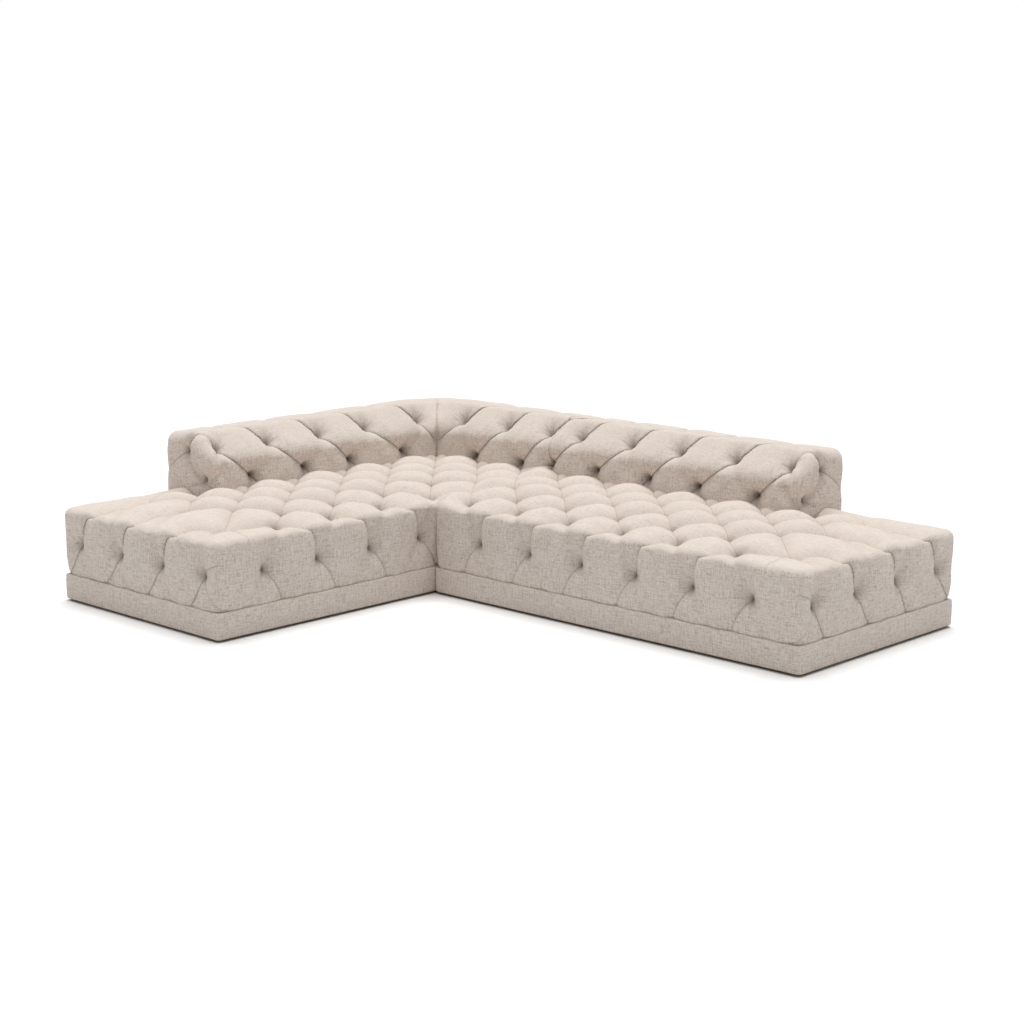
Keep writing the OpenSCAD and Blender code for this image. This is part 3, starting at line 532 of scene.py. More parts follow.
@dataclass
class SeatBlock(Block):
    """A seat's block: crowned, drawn in at the plinth, and pressed down under the back.

    Attributes:
        back_end: Where the back ends along the section.
        corner: Depth of the corner back along the section, or 0.
        fullness: How far the padding rises above the seat's edges.
    """

    back_end: float = 0.0
    corner: float = 0.0
    fullness: float = 0.062

    def tight(self, along: np.ndarray, deep: np.ndarray) -> np.ndarray:
        """Share by which the round edges narrow where the sections meet."""
        if self.joint_axis == 0:
            return falling(along, 0.10, 0.05) * falling(deep, 1.06, 0.10)
        return rising(deep, 0.97, 0.05) * falling(along, 1.06, 0.10)

    def crown(self, a: np.ndarray, d: np.ndarray) -> np.ndarray:
        """How far the padding rises above the seat's edges, by place along and across."""

        def swell(edge: np.ndarray) -> np.ndarray:
            """Share of the rise by the distance from an edge."""
            return 0.6 * ease(edge / 0.16) + 0.4 * rising(edge, 0.18, 0.22)

        front = SECTION_DEPTH - d
        if self.corner:
            front = np.hypot(np.maximum(SECTION_DEPTH - a, 0.0), front)
        backed = falling(a, self.back_end + 0.01, 0.05)
        rear = (1 - backed) * swell(d) + backed * rising(d, BACK_DEPTH - 0.080, 0.050)
        out = swell(front) * swell(self.length - a) * rear
        if self.corner:
            out = out * rising(a, self.corner - 0.080, 0.050)
        return self.fullness * out

    def bend(self, points: np.ndarray, sharp: np.ndarray) -> np.ndarray:
        """Bends the rounded block."""
        a, d, z = points.T.copy()
        along, deep = sharp[:, 0], sharp[:, 1]
        up = (z - PLINTH_TOP) / (SEAT_TOP - PLINTH_TOP)
        draw = 0.003 * ease(1 - up / 0.30) + 0.005 * ease(1 - up / 0.06)
        for axis, size in ((a, self.length), (d, SECTION_DEPTH)):
            off = axis - size / 2
            axis -= draw * np.sign(off) * (np.abs(off) > size / 2 - 0.06)
        sunk = falling(deep, BACK_DEPTH - 0.035, 0.05) * falling(along, self.back_end - 0.02, 0.06)
        if self.corner:
            sunk = np.maximum(sunk, falling(along, self.corner - 0.035, 0.05))
        z = z - BACK_SINK * sunk * rising(z, 0.34, 0.05) - 0.0022 * ease(1 - up / 0.03)
        z = z + self.crown(along, deep) * rising(up, 0.55, 0.45)
        return np.stack([a, d, z], axis=1)


@dataclass
class BackBlock(Block):
    """A back's block: its front leans and bulges low, and a mitre may cut its start."""

    def bend(self, points: np.ndarray, sharp: np.ndarray) -> np.ndarray:
        """Bends the rounded block."""
        a, d, z = points.T.copy()
        share = np.clip((z - BACK_FOOT) / (BACK_TOP - BACK_FOOT), 0, 1)
        lean = 0.090 * rising(z, 0.55, 0.145)
        crown = rising(z, 0.60, 0.08)
        z = z - 0.014 * falling(d, 0.18, 0.17) * crown
        if self.diagonal:
            z = z - 0.012 * ease(1 - sharp[:, 0] / 0.30) * crown
        d = d + rising(d, 0.12, 0.16) * (0.004 * ease(1 - share / 0.55) - lean)
        if self.diagonal:
            a = a + np.clip(d, 0, 0.36) * np.clip(1 - a / MITRE_REACH, 0, 1)
        return np.stack([a, d, z], axis=1)


@dataclass
class Upholstery:
    """Presses folds and tufts into a block's grid.

    Attributes:
        block: The block.
        folds: Its folds.
        tufts: Its tufts.
        swells: Its ridges of fuller padding.
        hollow: Low and high corner of the space inside that nothing may reach.
        seed: Seed of the tufts' and the padding's unevenness.
        blend: Power by which depths that meet are blended.
        skin: Least cloth left over the hollow.
        pleat_draw: Reach within which the grid is drawn to a pleat.
        tuft_draw: Reach within which the grid is drawn to a tuft.
        tuft_reach: Reach within which a tuft changes the surface.
        shade_reach: Reach of the shade in a tuft's pit.
        lap_reach: Reach of a pleat's lap.
        slit_depth: Depth of the slit along a pleat.
        slit_width: Width of that slit.
        valley_depth: Depth at which a valley has its full shade.
        ripple: Height of the padding's unevenness.
    """

    block: Block
    folds: list[Fold]
    tufts: list[Tuft]
    swells: list[Swell]
    hollow: np.ndarray
    seed: int
    blend: float = 2.8
    skin: float = 0.0012
    pleat_draw: float = 0.020
    tuft_draw: float = 0.045
    tuft_reach: float = 0.13
    shade_reach: float = 0.016
    lap_reach: float = 0.016
    slit_depth: float = 0.0030
    slit_width: float = 0.0035
    valley_depth: float = 0.050
    ripple: float = 0.0012

    def eased(self, points: np.ndarray, depth: np.ndarray) -> np.ndarray:
        """Eases depths off before they reach the hollow."""
        low, high = self.hollow
        away = np.maximum(np.maximum(low - points, points - high), 0.0)
        room = np.maximum(np.linalg.norm(away, axis=1) - self.skin, 0.004)
        knee = 0.62 * room
        over = np.maximum(depth - knee, 0.0)
        rest = room - knee
        return np.where(over > 0, knee + rest * (1 - np.exp(-over / rest)), depth)

    @staticmethod
    def within(points: np.ndarray, path: np.ndarray, reach: float) -> np.ndarray:
        """Rows of the points that lie in a path's box, grown by a reach."""
        low, high = path.min(axis=0) - reach, path.max(axis=0) + reach
        return np.nonzero(np.all((points > low) & (points < high), axis=1))[0]

    def pull(self, points: np.ndarray) -> np.ndarray:
        """Draws the grid's lines along the surface to pleats and tufts, to show them finely.

        Args:
            points: The grid's points on the round-edged block.

        Returns:
            The points, closer together at the pleats and tufts.
        """
        reach = self.pleat_draw
        best = np.full(len(points), reach)
        shift = np.zeros_like(points)
        for fold in self.folds:
            if fold.style.crease is SOFT:
                continue
            path = self.block.rounded(np.array(fold.path))
            near = self.within(points, path, reach)
            dist, share, at, _ = polyline_distance(points[near], path)
            closer = dist < best[near]
            rows = near[closer]
            best[rows] = dist[closer]
            fade = ease(np.minimum(share, 1 - share) / 0.15)[closer]
            pull = (1 - (dist[closer] / reach) ** 0.6) * fade
            shift[rows] = (at[closer] - points[rows]) * pull[:, None]
        points = points + shift
        for tuft in self.tufts:
            centre = self.block.rounded(np.array([tuft.place]))
            near = self.within(points, centre, self.tuft_draw)
            rel = points[near] - centre
            dist = np.linalg.norm(rel, axis=1)
            draw = np.clip(dist / self.tuft_draw, 0.02, 1.0) ** 0.45
            points[near] = centre + rel * draw[:, None]
        return points

    def press(self) -> tuple[np.ndarray, np.ndarray, np.ndarray, np.ndarray]:
        """Presses every fold and tuft into the surface.

        Returns:
            The pressed points; for each point its signed and its plain distance from the
            nearest pleat, and how strongly shade is painted along that pleat there; how much
            of a tuft pit's painted shade it gets; and how deep it lies in any valley, from 0 to 1.
        """
        points = self.pull(self.block.rounded(self.block.sharp))
        normals = self.block.normals(points)
        total, extra, pit = np.zeros((3, len(points)))
        crease = np.tile(NO_CREASE, (len(points), 1))
        for fold in self.folds:
            self.press_fold(fold, points, normals, total, extra, crease)
        total **= 1 / self.blend
        for swell in self.swells:
            path = self.block.rounded(np.array(swell.path))
            near = self.within(points, path, swell.width)
            dist = polyline_distance(points[near], path)[0] / swell.width
            total[near] -= swell.height * np.clip(1 - dist**2, 0, 1) ** 1.5
        rng = np.random.default_rng(self.seed)
        for tuft in self.tufts:
            phase = rng.uniform(0, 2 * math.pi, 2)
            self.press_tuft(tuft, phase, points, normals, total, extra, pit)
        extra += self.unevenness(points) * self.ripple
        depths = self.eased(points, total + extra)
        out = points - normals * depths[:, None]
        self.block.fill_cuts(out)
        # The last value sets how much shade is painted into the valleys.
        return out, crease, pit, np.clip(depths / self.valley_depth, 0, 1)

    def press_fold(
        self,
        fold: Fold,
        points: np.ndarray,
        normals: np.ndarray,
        total: np.ndarray,
        extra: np.ndarray,
        crease: np.ndarray,
    ) -> None:
        """Adds a fold.

        Args:
            fold: The fold.
            points: The unpressed points.
            normals: Their outward directions.
            total: Blended depths, changed in place.
            extra: Further depths, changed in place.
            crease: What the material needs of the nearest pleat, changed in place.
        """
        style = fold.style
        path = self.block.rounded(np.array(fold.path))
        near = self.within(points, path, style.width)
        dist, share, at, way = polyline_distance(points[near], path)
        keep = dist < style.width
        near, dist, share, at, way = (x[keep] for x in (near, dist, share, at, way))
        x = dist / style.width
        depth = style.depth * (1 + (style.end - 1) * share**style.late)
        depth = depth + style.rise * 4 * share * (1 - share)
        if style.crease is SOFT:
            blunt = 0.10
            flat = (np.sqrt(x**2 + blunt**2) - blunt) / (math.sqrt(1 + blunt**2) - blunt)
            total[near] += (depth * (1 - flat) ** 2.0) ** self.blend
            return
        side = np.einsum("ij,ij->i", np.cross(way, points[near] - at), normals[near])
        sign = np.where(side < 0, -1.0, 1.0)
        flatter = rising(share, 0.25, 0.35)
        slim = style.proud + (1 - style.proud) * flatter
        shape = np.clip(1 - x / np.where(sign > 0, slim, 1.0), 0, 1) ** 2.0
        total[near] += (depth * shape) ** self.blend
        live = ease(np.minimum(share, 1 - share) / 0.08 + 0.35)
        if style.fade:
            live = live * ease((1 - share) / style.fade)
        tuck = style.tuck * (1 - flatter * (0.8 if style.proud < 1 else 0.0))
        lap = tuck * -sign * np.exp(-dist / self.lap_reach) * 0.5
        slit = self.slit_depth * np.exp(-((dist / self.slit_width) ** 2))
        extra[near] += live * (lap + slit)
        closer = dist < crease[near, 1]
        # The third value is how strongly shade is painted along the pleat's line.
        values = np.column_stack([sign * dist, dist, live * style.crease_shade])
        crease[near[closer]] = values[closer]

    def press_tuft(
        self,
        tuft: Tuft,
        phase: np.ndarray,
        points: np.ndarray,
        normals: np.ndarray,
        total: np.ndarray,
        extra: np.ndarray,
        pit: np.ndarray,
    ) -> None:
        """Adds a tuft.

        Args:
            tuft: The tuft.
            phase: Two angles that make its creases its own.
            points: The unpressed points.
            normals: Their outward directions.
            total: Blended depths, changed in place.
            extra: Further depths, changed in place.
            pit: Share of the pit's shade, changed in place.
        """
        style = tuft.style
        centre = self.block.rounded(np.array([tuft.place]))
        near = self.within(points, centre, self.tuft_reach)
        rel = points[near] - centre
        dist = np.linalg.norm(rel, axis=1)
        total[near] += style.depth * np.exp(-((dist / style.reach) ** 1.35))
        # Painted shade: a dark patch round the pit's centre, where shade falls in the recess.
        shade = np.exp(-((dist / self.shade_reach) ** 1.5))
        pit[near] = np.maximum(pit[near], shade)
        n = normals[near[np.argmin(dist)]]
        u = np.cross(n, [0.31, 0.83, 0.47])
        u /= np.linalg.norm(u)
        angle = np.arctan2(rel @ np.cross(n, u), rel @ u)

        def waves(first: int, second: int, share: float) -> np.ndarray:
            """Two sets of creases round the tuft, by their counts."""
            return np.cos(first * angle + phase[0]) + share * np.cos(second * angle + phase[1])

        ring = np.exp(-(((dist - 0.030) / 0.026) ** 2)) * ease(dist / 0.015)
        extra[near] += style.wrinkle * waves(style.wrinkles, style.wrinkles + 4, 0.6) * ring
        if not style.fan_height:
            return
        facing = rel @ (np.array(style.fan) / np.linalg.norm(style.fan)) / np.maximum(dist, 1e-6)
        bowl = style.bowl * np.exp(-((dist / 0.060) ** 2))
        extra[near] += bowl * (1 - (1 - rising(facing, -0.35, 1.1)) * ease(dist / 0.012))
        reach = np.exp(-(((dist - 0.042) / 0.024) ** 2)) * rising(facing, 0.55, 0.35)
        extra[near] += style.fan_height * waves(23, 37, 0.5) * reach

    def unevenness(self, points: np.ndarray) -> np.ndarray:
        """The padding's faint unevenness, from a few crossed waves."""
        rng = np.random.default_rng(self.seed + 7)
        out = np.zeros(len(points))
        for _ in range(9):
            wave = rng.normal(size=3)
            wave *= rng.uniform(18, 55) / np.linalg.norm(wave)
            out += np.sin(points @ wave + rng.uniform(0, 2 * math.pi))
        return out / 3.0


# Meshes


def new_object(name: str, data: bpy.types.ID) -> bpy.types.Object:
    """Puts a mesh, a camera or a light in the scene as an object at the origin."""
    obj = bpy.data.objects.new(name, data)
    bpy.context.scene.collection.objects.link(obj)
    return obj


def vertices(mesh: bpy.types.Mesh) -> np.ndarray:
    """A mesh's points, as rows."""
    points = np.empty(len(mesh.vertices) * 3)
    mesh.vertices.foreach_get("co", points)
    return points.reshape(-1, 3)


def mesh_from(
    name: str,
    points: np.ndarray,
    faces: Iterable[Sequence[int]],
    charts: Optional[Iterable[Sequence[Spot]]] = None,
    flip: bool = False,
) -> bpy.types.Mesh:
    """A mesh from points, faces and a chart of the cloth for each corner.

    Args:
        name: The mesh's name.
        points: Rows of x, y and z.
        faces: Rows of point numbers.
        charts: For each face, its corners' places on the flat cloth.
        flip: True to turn the faces round.

    Returns:
        The new mesh, smooth shaded.
    """
    way = -1 if flip else 1
    mesh = bpy.data.meshes.new(name)
    mesh.from_pydata([tuple(p) for p in points], [], [list(f)[::way] for f in faces])
    if charts is not None:
        flat = [float(x) for chart in charts for spot in list(chart)[::way] for x in spot]
        mesh.uv_layers.new(name="cloth").data.foreach_set("uv", flat)
    mesh.polygons.foreach_set("use_smooth", [True] * len(mesh.polygons))
    mesh.update()
    return mesh


@dataclass
class TuftedCover:
    """A cover with its padding: a tufted skin, hollow over the frame inside it.

    Attributes:
        node: The CAD node it replaces.
        body: The body it rides on.
        place: How its own axes lie in the frame.
        block: The block it starts as.
        hollow: Low and high corner of the space for the frame, which is open below.
        seed: Seed of its unevenness.
    """

    node: str
    body: str
    place: Place
    block: Block
    hollow: np.ndarray
    seed: int

    def folds(self) -> list[Fold]:
        """The cover's folds."""
        return []

    def tufts(self) -> list[Tuft]:
        """The cover's tufts."""
        return []

    def swells(self) -> list[Swell]:
        """The cover's ridges of fuller padding."""
        return []

    def build(self) -> bpy.types.Object:
        """Builds the closed cover.

        Returns:
            The cover, with what its material needs of pleats and pits as attributes.
        """
        block, foot, top = self.block, self.block.foot, self.hollow[1, 2]
        work = Upholstery(
            block, self.folds(), self.tufts(), self.swells(), self.hollow, self.seed
        )
        skin, crease, pit, sunk = work.press()
        # Share of the cloth that faces up, which sets the painted light on the tops.
        upward = rising(block.normals(skin)[:, 2], 0.25, 0.5)
        n, m = len(skin), len(foot)
        edge = np.clip(skin[foot, :2], *self.hollow[:, :2])
        inner = np.column_stack([edge, np.full(m, block.low)])
        lid = np.column_stack([edge, np.full(m, top)])
        points = np.vstack([skin, inner, lid, [*self.hollow[:, :2].mean(axis=0), top]])
        b, c = n + np.arange(m), n + m + np.arange(m)
        inside = []
        for outer, within in ((foot, b), (b, c)):
            ring = (np.roll(outer, -1), outer, within, np.roll(within, -1))
            inside += np.stack(ring, axis=1).tolist()
        inside += [[q, p, n + 2 * m] for p, q in zip(c, np.roll(c, -1))]
        faces = block.quads.tolist() + inside
        charts = [*block.chart, *(points[face, :2] for face in inside)]
        name = self.node + "_padded"
        world = self.place.world(points)
        mesh = mesh_from(name, world, faces, charts, self.place.mirrored)
        # Masks for the painted shade in pits and valleys, and for the painted light on
        # upward-facing cloth.
        pits = np.column_stack([pit, upward, sunk])
        for key, values, none in (("crease", crease, NO_CREASE), ("pit", pits, (0, 0, 0))):
            rows = np.tile(np.array(none, float), (len(points), 1))
            rows[:n] = values
            layer = mesh.attributes.new(name=key, type="FLOAT_VECTOR", domain="POINT")
            layer.data.foreach_set("vector", rows.ravel())
        return new_object(name, mesh)


# Seats


@dataclass
class SeatCover(TuftedCover):
    """The tufted cover of a section's seat.

    Attributes:
        first_front: Number of the first column with a tuft in the front.
        front_count: Number of columns with a tuft in their last row.
        feet: Where the end's pleats meet the plinth.
        joined: True where the near end meets the other section.
    """

    first_front: int
    front_count: int
    feet: tuple[float, ...]
    joined: bool

    end_places = (0.11, 0.3935, 0.677, FRONT_ROW)
    end_rows = (1, 3, 5)
    corner_tuft_inset = (0.18, 0.18)
    front_sweep = ((0.012, 0.090), (0.045, 0.005), (0.100, -0.062))
    end_sweep = ((-0.075, 0.024), (-0.130, 0.054))
    foot_reach = 0.085
    clear = 0.03

    def column(self, k: int, row: int) -> float:
        """Place of a tuft along the section; every other row lies half a step further."""
        return FIRST_TUFT + TUFT_STEP * (k + (1 - row % 2) / 2)

    def columns(self, row: int) -> range:
        """Numbers of the tufts in a row of the top."""
        return range(row % 2 - 1, self.front_count - 1 + row % 2)

    def top_place(self, k: int, row: int) -> Spot:
        """Place of a top tuft, the corner one set towards the corner."""
        if row == 1 and k == self.front_count - 1:
            along, deep = self.corner_tuft_inset
            return self.block.length - along, self.block.depth - deep
        return self.column(k, row), FRONT_ROW - ROW_STEP * row

    def shows(self, along: float, deep: float) -> bool:
        """True where no back stands on the seat."""
        if along < self.block.corner - self.clear:
            return False
        return deep > BACK_DEPTH - self.clear or along > self.block.back_end - self.clear

    def folds(self) -> list[Fold]:
        """The folds of the top, the front, the end and the joint."""
        return [*self.top_folds(), *self.front_folds(), *self.end_folds(), *self.joint_folds()]

    def top_folds(self) -> list[Fold]:
        """The diamond folds of the top."""
        out = []
        for row in range(6):
            for k in self.columns(row):
                for other in (k - row % 2, k - row % 2 + 1):
                    p, q = self.top_place(k, row), self.top_place(other, row + 1)
                    if other in self.columns(row + 1) and (self.shows(*p) or self.shows(*q)):
                        crisp = self.column(other, row + 1) < self.column(k, row)
                        path = curve(self.block.over_front, p, q, steps=10)
                        out.append(Fold(path, TOP_PLEAT if crisp else TOP_VALLEY))
        return out

    def front_folds(self) -> list[Fold]:
        """The folds from the top's first row down the front to the plinth."""
        out = []
        block, over, depth = self.block, self.block.over_front, self.block.depth
        for k in range(self.first_front, self.front_count):
            s = self.column(k, 1)
            start = (s, depth + block.high - SIDE_TUFT_HEIGHT)
            foot = depth + block.high - block.low
            if k in self.columns(0):
                sweep = [(s + along, depth + run) for along, run in self.front_sweep]
                path = threaded(over, [start, *sweep, self.top_place(k, 0)])
                out.append(Fold(path, FRONT_PLEAT))
            if k - 1 in self.columns(0):
                out.append(Fold(curve(over, start, self.top_place(k - 1, 0)), FRONT_VALLEY))
            out.append(Fold(curve(over, start, (s - 0.082, foot), 0.06), FOOT_PLEAT))
            path = curve(over, start, (s + self.foot_reach, foot), -0.04)
            out.append(Fold(path, FOOT_VALLEY))
        return out

    def end_folds(self) -> list[Fold]:
        """The folds of the far end, and those that turn its corner."""
        out = []
        block, over, length, depth = self.block, self.block.over_end, *self.size
        end_run, foot = length + block.high - SIDE_TUFT_HEIGHT, length + block.high - block.low
        tops = [self.top_place(self.front_count - 1, row) for row in self.end_rows]
        for k, (d, foot_place) in enumerate(zip(self.end_places, self.feet)):
            start = (end_run, d)
            if k < 3:
                aim = tops[2 - k]
                places = [start, *((end_run + run, d + side) for run, side in self.end_sweep)]
                places += [(length - 0.020, d + 0.092)]
                places += [(0.45 * length + 0.55 * aim[0], d + 0.118), aim]
                out.append(Fold(threaded(over, places), END_PLEAT))
            if k > 0:
                out.append(Fold(curve(over, start, tops[3 - k], 0.04), END_VALLEY))
            out.append(Fold(curve(over, start, (foot, foot_place), 0.05), END_FOOT_PLEAT))
            path = curve(over, start, (foot, d + self.foot_reach), -0.04)
            out.append(Fold(path, FOOT_VALLEY))
        start = (length + depth - FRONT_ROW, SIDE_TUFT_HEIGHT)
        notch = (length - 0.02, SIDE_TUFT_HEIGHT + 0.06)
        top = tops[0]
        return out + [
            Fold(curve(block.round_corner, start, (length - 0.07, block.low), 0.14), CORNER_FOOT),
            Fold(curve(block.round_corner, start, notch, -0.1), CORNER_NOTCH),
            Fold(curve(block.over_front, top, (top[0] + 0.005, depth + 0.05)), CORNER_TOP),
        ]

    def joint_folds(self) -> list[Fold]:
        """The folds that run over the top's edge where the sections meet."""
        lines = []
        for k in range(1, self.first_front):
            start = (self.column(k, 1), self.block.depth)
            lines.append((self.top_place(k, 0), start, JOINT_VALLEY))
            lines.append((self.top_place(k - 1, 0), start, JOINT_PLEAT))
        if self.joined:
            first = self.columns(0)[0]
            for row in self.end_rows:
                start = (0.0, self.column((5 - row) // 2, 1))  # A column of the other section
                lines.append((self.top_place(first, row - 1), start, JOINT_PLEAT))
                lines.append((self.top_place(first, row + 1), start, JOINT_VALLEY))
        over = self.block.over_front
        return [Fold(curve(over, top, start), style) for top, start, style in lines]

    @property
    def size(self) -> Spot:
        """Length and depth of the block."""
        return self.block.length, self.block.depth

    def tufts(self) -> list[Tuft]:
        """The tufts of the top, the front and the end."""
        length, depth = self.size
        places = [self.top_place(k, row) for row in range(7) for k in self.columns(row)]
        out = [Tuft((*p, self.block.high), TOP_TUFT) for p in places if self.shows(*p)]
        for k in range(self.first_front, self.front_count):
            out.append(Tuft((self.column(k, 1), depth, SIDE_TUFT_HEIGHT), FRONT_TUFT))
        ends = [(length, d, SIDE_TUFT_HEIGHT) for d in self.end_places]
        return out + [Tuft(place, END_TUFT) for place in ends]


def level_joint(covers: Sequence[tuple[bpy.types.Object, int, float]]) -> None:
    """Brings the tops of two covers to one height where the sections meet.

    Args:
        covers: The two covers, each with the number of points of its top, which come
            first, and how far it ends above the common height.
    """
    start, stop, step, fade = 0.17, 0.80, 0.004, 0.03
    band, reach, wall_band = 0.0065, 0.045, 0.0015
    places = np.arange(start, stop, step)
    tops = []
    for obj, count, _ in covers:
        edge = vertices(obj.data)[:count]
        edge = edge[np.abs(edge[:, 0] - JOINT_PLACE) < band]
        edge = edge[edge[:, 1].argsort()]
        tops.append(np.interp(places, edge[:, 1], edge[:, 2]))
    common = np.convolve((tops[0] + tops[1]) / 2, np.ones(7) / 7, "same")
    common[:3], common[-3:] = common[3], common[-4]
    for (obj, count, lift), top in zip(covers, tops):
        points = vertices(obj.data)
        x, y, z = points.T
        near = ease(1 - np.abs(x - JOINT_PLACE) / reach)
        inside = rising(y, start, fade) * falling(y, stop, fade)
        z += np.interp(y, places, common - top + lift) * near * inside * rising(z, 0.360, fade)
        shut = 0.0002 + 0.0008 * (1 - rising(z, 0.330, 0.030))
        gap = x - JOINT_PLACE
        close = np.abs(gap) < wall_band
        x[close] = JOINT_PLACE + (np.sign(gap) * shut)[close]
        wall = close & inside.astype(bool) & (np.arange(len(points)) >= count)
        rim = np.interp(y, places, common + lift) - 0.0012
        z[wall] = np.minimum(z[wall], rim[wall])
        obj.data.vertices.foreach_set("co", points.ravel())
        obj.data.update()


# Backs


@dataclass
class BackCover(TuftedCover):
    """The tufted cover of a low back.

    Attributes:
        upper: Places of the upper tufts along the row.
        lower: Places of the lower tufts along the row.
        beyond: Places of tufts beyond the ends, whose folds run over this cover.
        end_tuft: Depth and height of the free end's tuft.
        lower_height: Height of the lower tufts.
    """

    upper: tuple[float, ...]
    lower: tuple[float, ...]
    beyond: tuple[float, ...] = ()
    end_tuft: Spot = (0.150, 0.604)
    lower_height: float = 0.488

    upper_run = BACK_DEPTH + 0.050
    over_sweep = ((0.040, 0.335), (0.078, 0.265), (0.110, 0.190), (0.128, 0.110), (0.138, 0.0))
    horn_tip = (0.072, 0.490)
    horn_swell = (
        (-0.036, 0.694),
        (-0.018, 0.680),
        (-0.006, 0.655),
        (0.0, 0.610),
        (0.010, 0.560),
        (0.022, 0.532),
    )
    horn_inner = ((0.020, 0.590), (0.022, 0.545), (0.048, 0.508))
    horn_outer = ((-0.006, 0.570), (-0.022, 0.530), (-0.056, 0.504))
    seat_line = 0.455

    @property
    def mitred(self) -> bool:
        """True where the back starts on the corner's diagonal."""
        return self.block.diagonal

    @property
    def free_end(self) -> bool:
        """True where the far end stands free."""
        return "far" not in self.block.cuts

    @property
    def lower_run(self) -> float:
        """Run of the lower tufts from the rear edge over the top."""
        return BACK_DEPTH + BACK_TOP - self.lower_height

    @property
    def tip(self) -> Spot:
        """Run and height of the foot of the horn, the upright puff at the free end."""
        return self.block.length + self.horn_tip[0], self.horn_tip[1]

    def spot(self, along: float, run: float) -> Point:
        """A point by its real place along the row and its run over the front.

        Args:
            along: Real place along the row.
            run: Run from the rear edge over the top and down the front.

        Returns:
            The point on the sharp block, before the mitre draws it aside.
        """
        _, deep, height = self.block.over_front(along, run)
        if self.mitred and along < MITRE_REACH:
            surface = self.block.rounded(np.array([(1.0, deep, height)]))[0, 1]
            along = max(0.0, (along - surface) / (1 - surface / MITRE_REACH))
        return along, deep, height

    def folds(self) -> list[Fold]:
        """The back's diamond folds, those of the mitre, and those round the horn."""
        out = []
        foot = self.block.depth + self.block.high - self.block.low
        for a in (*self.upper, *self.beyond):
            start = (a, self.upper_run)
            if not (self.free_end and a == self.upper[-1]):
                places = [start, *((a + along, run) for along, run in self.over_sweep)]
                out.append(Fold(threaded(self.spot, places), OVER_PLEAT))
            out.append(Fold(curve(self.spot, start, (a - 0.13, 0.160)), OVER_VALLEY))
        for a in self.upper:
            start = (a, self.upper_run)
            before = [b for b in self.lower if b < a][-1:]
            after = [b for b in self.lower if b > a][:1]
            for found, bow, style in (
                (before, -0.07, DIAMOND_PLEAT),
                (after, 0.12, DIAMOND_VALLEY),
            ):
                for b in found:
                    out.append(Fold(curve(self.spot, start, (b, self.lower_run), bow), style))
        for b in self.lower:
            start = (b, self.lower_run)
            path = curve(self.spot, start, (b - 0.06, foot), 0.06, 6)
            out.append(Fold(path, BACK_FOOT_PLEAT))
            path = curve(self.spot, start, (b + 0.07, foot), 0.0, 6)
            out.append(Fold(path, BACK_FOOT_VALLEY))
        if self.mitred:
            over = self.block.over_front
            seam = curve(over, (0.0, 0.0), (0.0, foot), steps=30)
            first = self.spot(self.upper[0], self.upper_run)[0]
            meet = curve(over, (first, self.upper_run), (0.0, self.block.depth + 0.178))
            out += [Fold(seam, MITRE_SEAM), Fold(meet, MITRE_PLEAT)]
        return out + (self.horn_folds() if self.free_end else [])

    def horn_folds(self) -> list[Fold]:
        """The folds round the horn."""
        block, corner = self.block, self.block.round_corner
        length, depth, high = block.length, block.depth, block.high
        a, z = self.upper[-1], high - (self.upper_run - depth)
        end_d, end_z = self.end_tuft
        run = length + depth - end_d
        arch = [
            (a, depth, z),
            (a + 0.012, depth, z + 0.036),
            (a + 0.034, depth - 0.030, high),
            (length - 0.012, depth - 0.075, high),
            (length, depth - 0.125, high - 0.014),
            (length, depth - 0.160, high - 0.044),
            (length, end_d, end_z),
        ]
        smooth = [arch[0]]
        for p, q in zip(arch[:-1], arch[1:]):
            for t in (0.34, 0.67, 1.0):
                smooth.append(tuple(p[i] + (q[i] - p[i]) * t for i in range(3)))
        inner = [(a, z), *((a + x, y) for x, y in self.horn_inner), self.tip]
        outer = [(run, end_z), *((run + x, y) for x, y in self.horn_outer), self.tip]
        rear = ((length, end_d, end_z), (length, end_d / 2, end_z - 0.044), (length, 0.0, 0.510))
        feet = [(self.tip[0] + along, self.seat_line) for along in (-0.085, 0.070)]
        return [
            Fold(tuple(smooth), HORN_ARCH),
            Fold(threaded(corner, inner), HORN_INNER),
            Fold(threaded(corner, outer), HORN_OUTER),
            Fold(curve(corner, self.tip, feet[0], 0.10, 6), HORN_FOOT),
            Fold(curve(corner, self.tip, feet[1], -0.10, 6), HORN_FOOT),
            Fold(rear, HORN_REAR),
        ]

    def swells(self) -> list[Swell]:
        """The horn's fuller padding."""
        if not self.free_end:
            return []
        places = [(self.block.length + run, height) for run, height in self.horn_swell]
        return [Swell(threaded(self.block.round_corner, places), height=0.018, width=0.080)]

    def tufts(self) -> list[Tuft]:
        """The back's two rows of tufts, and those of its free end."""
        out = [Tuft(self.spot(a, self.upper_run), UPPER_TUFT) for a in self.upper]
        out += [Tuft(self.spot(b, self.lower_run), LOWER_TUFT) for b in self.lower]
        if self.free_end:
            out.append(Tuft((self.block.length, *self.end_tuft), HORN_END_TUFT))
            out.append(Tuft(self.block.round_corner(*self.tip), HORN_TIP_TUFT))
        return out


# Plinth


